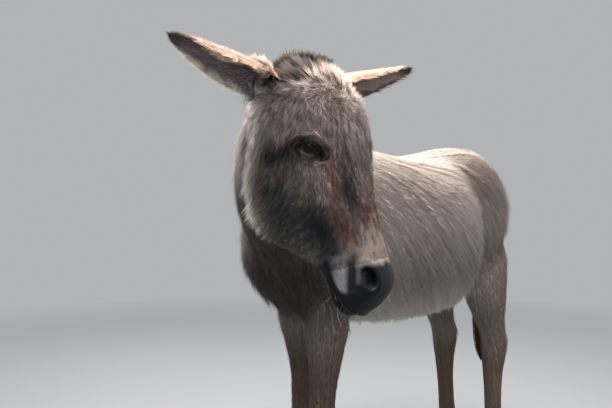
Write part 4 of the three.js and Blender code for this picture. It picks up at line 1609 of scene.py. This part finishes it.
def bristles(name, roots, aims, chosen, material, **asked):
    """A joined mesh of bristles, one at each root, with its patches on the bake map."""
    mesh = bpy.data.meshes.new(name)
    mesh.from_pydata(roots.tolist(), [], [])
    set_vectors(mesh, "aim", aims)
    ob = linked(name, mesh)
    stand = ob.modifiers.new("bristles", "NODES")
    stand.node_group = bpy.data.node_groups.get("bristles") or bristle_tree()
    asked["Material"] = material
    for socket in stand.node_group.interface.items_tree:
        if socket.in_out == "INPUT" and socket.name in asked:
            stand[socket.identifier] = asked[socket.name]
    result = applied(ob)
    bpy.data.objects.remove(ob)
    bpy.data.meshes.remove(mesh)
    result.name = name
    for layer in list(result.uv_layers):
        result.uv_layers.remove(layer)
    set_bake_map(result, bristle_patches(result, chosen, len(result.vertices) // len(roots)))
    place(result, material)


LASHES = 90  # on each upper lid
WHISKER_DENSITY = 0.35  # whiskers to a square centimetre of the lips
WHISKER_BREADTH = 14  # mm from the mouth's line within which they thin out


def lashes(name, side, tree, material, rng, seed):
    """Lashes along the margin of one upper lid, fanned out over the eye."""
    eye = Eye(side)
    upper = eye.margin[eye.margin[:, 1] > 3.0]
    spot = np.sort(rng.random(LASHES)) * (len(upper) - 1)
    a, b = (np.interp(spot, np.arange(len(upper)), upper[:, k]) for k in range(2))
    gap = 0.4 + 1.2 * rng.random(LASHES)
    b = b + gap
    height = lid_height(a, b, gap, np.zeros(LASHES)) - 0.6
    roots = from_head(eye.solid(a, b, height))
    lift = 0.55 - 0.25 * rng.random((LASHES, 1))
    aims = eye.outward + lift * eye.up + (a / 40)[:, None] * eye.along
    aims = unit(aims + rng.normal(0, 0.10, (LASHES, 3)))
    chosen = np.array([tree.find_nearest(q)[2] for q in roots.tolist()])
    bristles("lashes_" + name, roots, aims @ HEAD_AXES, chosen, material,
             Length=15 * MM, Thickness=0.55 * MM, Bend=0.3, Seed=seed)


def whiskers(surface, material, rng, seed):
    """Whiskers scattered over the lips and chin, drooping a little."""
    middles = in_head(surface.points[surface.triangles].mean(1))
    x, y, z = middles.T
    lips = hump(z, mouth_level(y), WHISKER_BREADTH) * ramp(y, 345, 375) * (y < 460) * (np.abs(x) < 90)
    chosen, weights = scatter(surface, WHISKER_DENSITY * lips, rng)
    roots = at_roots(surface.points, surface.triangles[chosen], weights)
    aims = unit(unit(surface.face_normals()[chosen]) + 0.5 * head_down + rng.normal(0, 0.22, roots.shape))
    bristles("whiskers", roots - aims * MM, aims, chosen, material,
             Length=32 * MM, Thickness=0.38 * MM, Bend=0.35, Seed=seed)


class DONKEY_OT_bristles(bpy.types.Operator):
    """Lashes on the lids, and whiskers on the muzzle and chin"""

    bl_idname = "donkey.bristles"
    bl_label = "Lashes and whiskers"

    def execute(self, context):
        seed = context.scene.donkey_coat.seed
        rng = np.random.default_rng(seed + 2)
        surface = made["surface"]
        tree = search_tree(surface.points, surface.triangles)
        dark, pale = bristle_material("eyelash", "0c0a0a"), bristle_material("whisker", "857c72")
        for name, side in SIDES.items():
            lashes(name, side, tree, dark, rng, seed)
        whiskers(surface, pale, rng, seed + 1)
        return {"FINISHED"}


# ---------------------------------------------------------------- hooves
HOOF_GRAIN = 2.0 * MM
HOOF_RING = 6.5 * MM  # between growth rings
HOOF_RING_RISE = 0.35 * MM
SOLE = 3 * MM  # the part of the wall that stays flat on the floor


class DONKEY_OT_hooves(bpy.types.Operator):
    """Hooves with growth rings, resting flat on the floor"""

    bl_idname = "donkey.hooves"
    bl_label = "Hooves"

    def execute(self, context):
        horn = hoof_material()
        for foot in FEET:
            ob = linked("hoof", mesh_from(merged_node("hoof_" + foot), "hoof"))
            mesh = in_voxels(ob, HOOF_GRAIN)
            bpy.data.objects.remove(ob)
            surface = Surface(read_points(mesh), read_triangles(mesh))
            sole = surface.points[:, 2] < surface.points[:, 2].min() + SOLE
            points = surface.spread(surface.points, 5, keep=0.2)
            wall = unit(surface.normals() * (1, 1, 0.2))
            rings = np.sin(points[:, 2] / HOOF_RING * 2 * math.pi + 2.5 * soft_noise(points, 0.04, 80))
            points += wall * (HOOF_RING_RISE * rings * ~sole)[:, None]
            points[:, 2] = np.where(sole, 0.0, np.maximum(points[:, 2], 0.0))
            hoof = mesh_of("hoof_horn_" + foot, points, surface.triangles, 3)
            place(hoof, horn, ["hoof_" + foot])
        return {"FINISHED"}


# ---------------------------------------------------------------- materials
def set_inputs(tree, node, inputs):
    """Sets a node's inputs. Each takes a value, or another node's output to link."""
    for key, value in dict(inputs).items():
        if isinstance(value, bpy.types.NodeSocket):
            tree.links.new(value, node.inputs[key])
        else:
            node.inputs[key].default_value = value


def add_node(tree, kind, settings=(), inputs=()):
    """Adds a node. settings are its own values, and inputs are as set_inputs takes them."""
    node = tree.nodes.new(kind)
    for key, value in dict(settings).items():
        setattr(node, key, value)
    set_inputs(tree, node, inputs)
    return node


def new_material(name):
    """A material with its node tree and its shader, which is linked to the output."""
    material = bpy.data.materials.new(name)
    material.use_nodes = True
    tree = material.node_tree
    tree.nodes.clear()
    shader = add_node(tree, "ShaderNodeBsdfPrincipled")
    add_node(tree, "ShaderNodeOutputMaterial", (), {0: shader.outputs[0]})
    return material, tree, shader


def streaked(tree, streak, low, high):
    """The painted hair colour, made lighter and darker by a fine grain. streak is its size in mm."""
    painted = add_node(tree, "ShaderNodeAttribute", {"attribute_name": "coat"})
    at = add_node(tree, "ShaderNodeTexCoord")
    grain = add_node(tree, "ShaderNodeTexNoise", (), {
        "Vector": at.outputs["Object"], "Scale": 1 / (streak * MM), "Detail": 2.0,
    })
    level = add_node(tree, "ShaderNodeMapRange", (), {
        "Value": grain.outputs["Fac"], "From Min": 0.3, "From Max": 0.7, "To Min": low, "To Max": high,
    })
    return add_node(
        tree, "ShaderNodeMix", {"data_type": "RGBA", "blend_type": "MULTIPLY"},
        {"Factor": 1.0, 6: painted.outputs["Color"], 7: level.outputs["Result"]},
    ).outputs[2]


def hair_material():
    """Grown hair, all but matt: rough fibres that give only a faint, broad shine."""
    material, tree, shader = new_material("grown_winter_hair")
    set_inputs(tree, shader, {
        "Base Color": streaked(tree, 2.5, 0.86, 1.14), "Roughness": 0.7, "Specular IOR Level": 0.14,
    })
    return material


def skin_material():
    """Skin under short down: dark, dull and finely pitted."""
    material, tree, shader = new_material("downy_skin")
    at = add_node(tree, "ShaderNodeTexCoord")
    down = add_node(tree, "ShaderNodeTexNoise", (), {
        "Vector": at.outputs["Object"], "Scale": 1 / (1.6 * MM), "Detail": 3.0,
    })
    bump = add_node(tree, "ShaderNodeBump", (), {
        "Height": down.outputs["Fac"], "Strength": 0.5, "Distance": 0.6 * MM,
    })
    set_inputs(tree, shader, {
        "Base Color": streaked(tree, 3, 0.8, 1.2), "Normal": bump.outputs["Normal"],
        "Roughness": 0.6, "Specular IOR Level": 0.12,
    })
    return material


def lid_material():
    """Bare skin of the lids: dark and slightly moist, so that it shines where it bends."""
    material, tree, shader = new_material("moist_lid_skin")
    set_inputs(tree, shader, {
        "Base Color": streaked(tree, 2, 0.85, 1.15), "Roughness": 0.5, "Specular IOR Level": 0.2,
    })
    return material


PUPIL_HALF = (0.46, 0.24)  # along and up, as shares of the cornea's half


def eye_material():
    """A living eye: dark brown iris with fine fibres round a level black pupil, under a wet, clear cornea."""
    material, tree, shader = new_material("wet_cornea")
    length, blend = {"operation": "LENGTH"}, {"data_type": "RGBA"}
    gaze = add_node(tree, "ShaderNodeAttribute", {"attribute_name": "gaze"}).outputs["Vector"]
    wide = add_node(
        tree, "ShaderNodeVectorMath", {"operation": "MULTIPLY"},
        {0: gaze, 1: (1 / PUPIL_HALF[0], 1 / PUPIL_HALF[1], 0)},
    )
    pupil = add_node(tree, "ShaderNodeVectorMath", length, {0: wide.outputs["Vector"]})
    reach = add_node(tree, "ShaderNodeVectorMath", length, {0: gaze})
    fibre = add_node(tree, "ShaderNodeTexNoise", (), {"Vector": gaze, "Scale": 9.0, "Detail": 3.0})
    iris = add_node(tree, "ShaderNodeMix", blend, {
        "Factor": fibre.outputs["Fac"], 6: opaque("070505"), 7: opaque("150e0a"),
    })
    edge = add_node(tree, "ShaderNodeMapRange", (), {
        "Value": pupil.outputs["Value"], "From Min": 0.92, "From Max": 1.08,
    })
    inner = add_node(tree, "ShaderNodeMix", blend, {
        "Factor": edge.outputs["Result"], 6: opaque("050406"), 7: iris.outputs[2],
    })
    rim = add_node(tree, "ShaderNodeMapRange", (), {
        "Value": reach.outputs["Value"], "From Min": 0.85, "From Max": 1.05,
    })
    colour = add_node(tree, "ShaderNodeMix", blend, {
        "Factor": rim.outputs["Result"], 6: inner.outputs[2], 7: opaque("120d0c"),
    })
    set_inputs(tree, shader, {
        "Base Color": colour.outputs[2], "Roughness": 0.04, "IOR": 1.24, "Specular IOR Level": 0.3,
    })
    return material


def bristle_material(name, colour):
    """Stiff single hairs: smooth, solid and a little glossy."""
    material, tree, shader = new_material(name)
    set_inputs(tree, shader, {"Base Color": opaque(colour), "Roughness": 0.45})
    return material


def hoof_material():
    """Hoof horn, grown in fine tubes: dark slate with faint upright streaks, dull from wear."""
    material, tree, shader = new_material("worn_hoof_horn")
    at = add_node(tree, "ShaderNodeTexCoord")
    drawn = add_node(tree, "ShaderNodeMapping", (), {
        "Vector": at.outputs["Object"], "Scale": (1.0, 1.0, 0.12),
    })
    tubes = add_node(tree, "ShaderNodeTexNoise", (), {
        "Vector": drawn.outputs["Vector"], "Scale": 1 / (3 * MM), "Detail": 3.0,
    })
    colour = add_node(
        tree, "ShaderNodeMix", {"data_type": "RGBA"},
        {"Factor": tubes.outputs["Fac"], 6: opaque("1c1a1a"), 7: opaque("403a36")},
    )
    bump = add_node(tree, "ShaderNodeBump", (), {
        "Height": tubes.outputs["Fac"], "Strength": 0.4, "Distance": 0.5 * MM,
    })
    set_inputs(tree, shader, {
        "Base Color": colour.outputs[2], "Normal": bump.outputs["Normal"], "Roughness": 0.5, "IOR": 1.54,
    })
    return material


# ---------------------------------------------------------------- the stage
WALL_COLOUR = "e9eaec"
FLOOR_HALF = 40.0  # metres from its middle to an edge
FLOOR_FADE = (1.0, 4.5)  # metres from the middle over which the floor turns into the wall
WARM = (1.0, 0.96, 0.92)
SOFT_WARM = (1.0, 0.97, 0.94)
COOL = (0.93, 0.96, 1.0)
CAMERA_AT = (0.9284, -1.2640, 0.88)
CAMERA_HEADING = math.radians(43)  # to the left of straight ahead along +Y
FOCAL_PIXELS = 620  # the focal length, for a frame that is FRAME_PIXELS wide
FRAME_PIXELS = 612
SENSOR = 36.0  # mm


def area_light(name, at, towards, size, power, tint, mirrored=True):
    """A round soft light, size metres across. One that isn't mirrored leaves no bright spot in gloss."""
    data = bpy.data.lights.new(name, "AREA")
    data.shape = "DISK"
    data.size = size
    data.energy = power
    data.color = tint
    ob = linked(name, data)
    ob.location = at
    ob.rotation_euler = (Vector(towards) - Vector(at)).to_track_quat("-Z", "Y").to_euler()
    ob.visible_glossy = mirrored


def wall_strength(tree, s):
    """The room's light, or the wall's brightness where the camera looks straight at it, as a socket."""
    path = add_node(tree, "ShaderNodeLightPath")
    more = add_node(tree, "ShaderNodeMath", {"operation": "MULTIPLY"}, {
        0: s.wall - s.room, 1: path.outputs["Is Camera Ray"],
    })
    return add_node(tree, "ShaderNodeMath", {"operation": "ADD"}, {0: more.outputs[0], 1: s.room}).outputs[0]


def floor_material(s):
    """Matt pale paint. Far from the model it glows like the wall behind, so that no horizon shows."""
    material, tree, shader = new_material("matt_floor_paint")
    set_inputs(tree, shader, {"Base Color": (*s.floor, 1), "Roughness": 0.9})
    at = add_node(tree, "ShaderNodeTexCoord")
    away = add_node(tree, "ShaderNodeVectorMath", {"operation": "LENGTH"}, {0: at.outputs["Object"]})
    far = add_node(tree, "ShaderNodeMapRange", (), {
        "Value": away.outputs["Value"], "From Min": FLOOR_FADE[0], "From Max": FLOOR_FADE[1],
    })
    glow = add_node(tree, "ShaderNodeEmission", (), {
        "Color": opaque(WALL_COLOUR), "Strength": wall_strength(tree, s),
    })
    both = add_node(tree, "ShaderNodeMixShader", (), {
        0: far.outputs["Result"], 1: shader.outputs[0], 2: glow.outputs[0],
    })
    set_inputs(tree, tree.get_output_node("ALL"), {0: both.outputs[0]})
    return material


def room_light(s):
    """Even light from all round, and a brighter plain wall where the camera looks past the model."""
    world = bpy.data.worlds.new("room")
    world.use_nodes = True
    tree = world.node_tree
    set_inputs(tree, tree.nodes["Background"], {
        "Color": opaque(WALL_COLOUR), "Strength": wall_strength(tree, s),
    })
    return world


class DONKEY_OT_stage(bpy.types.Operator):
    """Plain floor, soft light and the camera"""

    bl_idname = "donkey.stage"
    bl_label = "Stage"

    def execute(self, context):
        s = context.scene.donkey_stage
        scene = context.scene
        floor = bpy.data.meshes.new("floor")
        corners = [(x * FLOOR_HALF, y * FLOOR_HALF, 0) for x, y in ((-1, -1), (1, -1), (1, 1), (-1, 1))]
        floor.from_pydata(corners, [], [(0, 1, 2, 3)])
        floor.materials.append(floor_material(s))
        ob = linked("floor", floor)
        scene.world = room_light(s)
        scene.view_settings.view_transform = "Standard"
        centre = (0.0, 0.0, 0.7)
        area_light("overhead", (0.6, -0.5, 3.5), centre, 2.6, s.overhead, SOFT_WARM)
        area_light("rim", (-0.9, 2.6, 2.4), (0.1, -0.2, 0.9), 1.4, s.rim, WARM)
        area_light("edge", (-2.8, 0.7, 1.9), (0.0, -0.6, 0.9), 1.0, s.rim * 0.65, WARM)
        area_light("fill", (1.9, -2.2, 1.0), centre, 2.0, s.fill, COOL, mirrored=False)
        data = bpy.data.cameras.new("camera")
        data.sensor_width = SENSOR
        data.lens = SENSOR * FOCAL_PIXELS / FRAME_PIXELS
        camera = linked("camera", data)
        camera.location = CAMERA_AT
        camera.rotation_euler = (math.radians(90), 0, CAMERA_HEADING)
        scene.camera = camera
        return {"FINISHED"}


# ---------------------------------------------------------------- panel and registration
class DONKEY_PT_panel(bpy.types.Panel):
    bl_label = "Donkey"
    bl_space_type = "VIEW_3D"
    bl_region_type = "UI"
    bl_category = "Donkey"

    def draw(self, context):
        for group in ("donkey_skin", "donkey_coat", "donkey_stage"):
            box = self.layout.box()
            settings = getattr(context.scene, group)
            for key in settings.bl_rna.properties.keys():
                if key not in ("rna_type", "name"):
                    box.prop(settings, key)
        for operator in OPERATORS:
            self.layout.operator(operator.bl_idname)


OPERATORS = (
    DONKEY_OT_skin, DONKEY_OT_coat, DONKEY_OT_mane, DONKEY_OT_eyes, DONKEY_OT_bristles, DONKEY_OT_hooves,
    DONKEY_OT_stage,
)
GROUPS = {
    "donkey_skin": DonkeySkinSettings,
    "donkey_coat": DonkeyCoatSettings,
    "donkey_stage": DonkeyStageSettings,
}


def register():
    for cls in (*GROUPS.values(), *OPERATORS, DONKEY_PT_panel):
        bpy.utils.register_class(cls)
    for name, cls in GROUPS.items():
        setattr(bpy.types.Scene, name, PointerProperty(type=cls))


def unregister():
    for name in GROUPS:
        delattr(bpy.types.Scene, name)
    for cls in (DONKEY_PT_panel, *reversed(OPERATORS), *reversed(list(GROUPS.values()))):
        bpy.utils.unregister_class(cls)


def main():
    register()
    for step in ("skin", "coat", "mane", "eyes", "bristles", "hooves", "stage"):
        getattr(bpy.ops.donkey, step)()


if __name__ == "__main__":
    main()
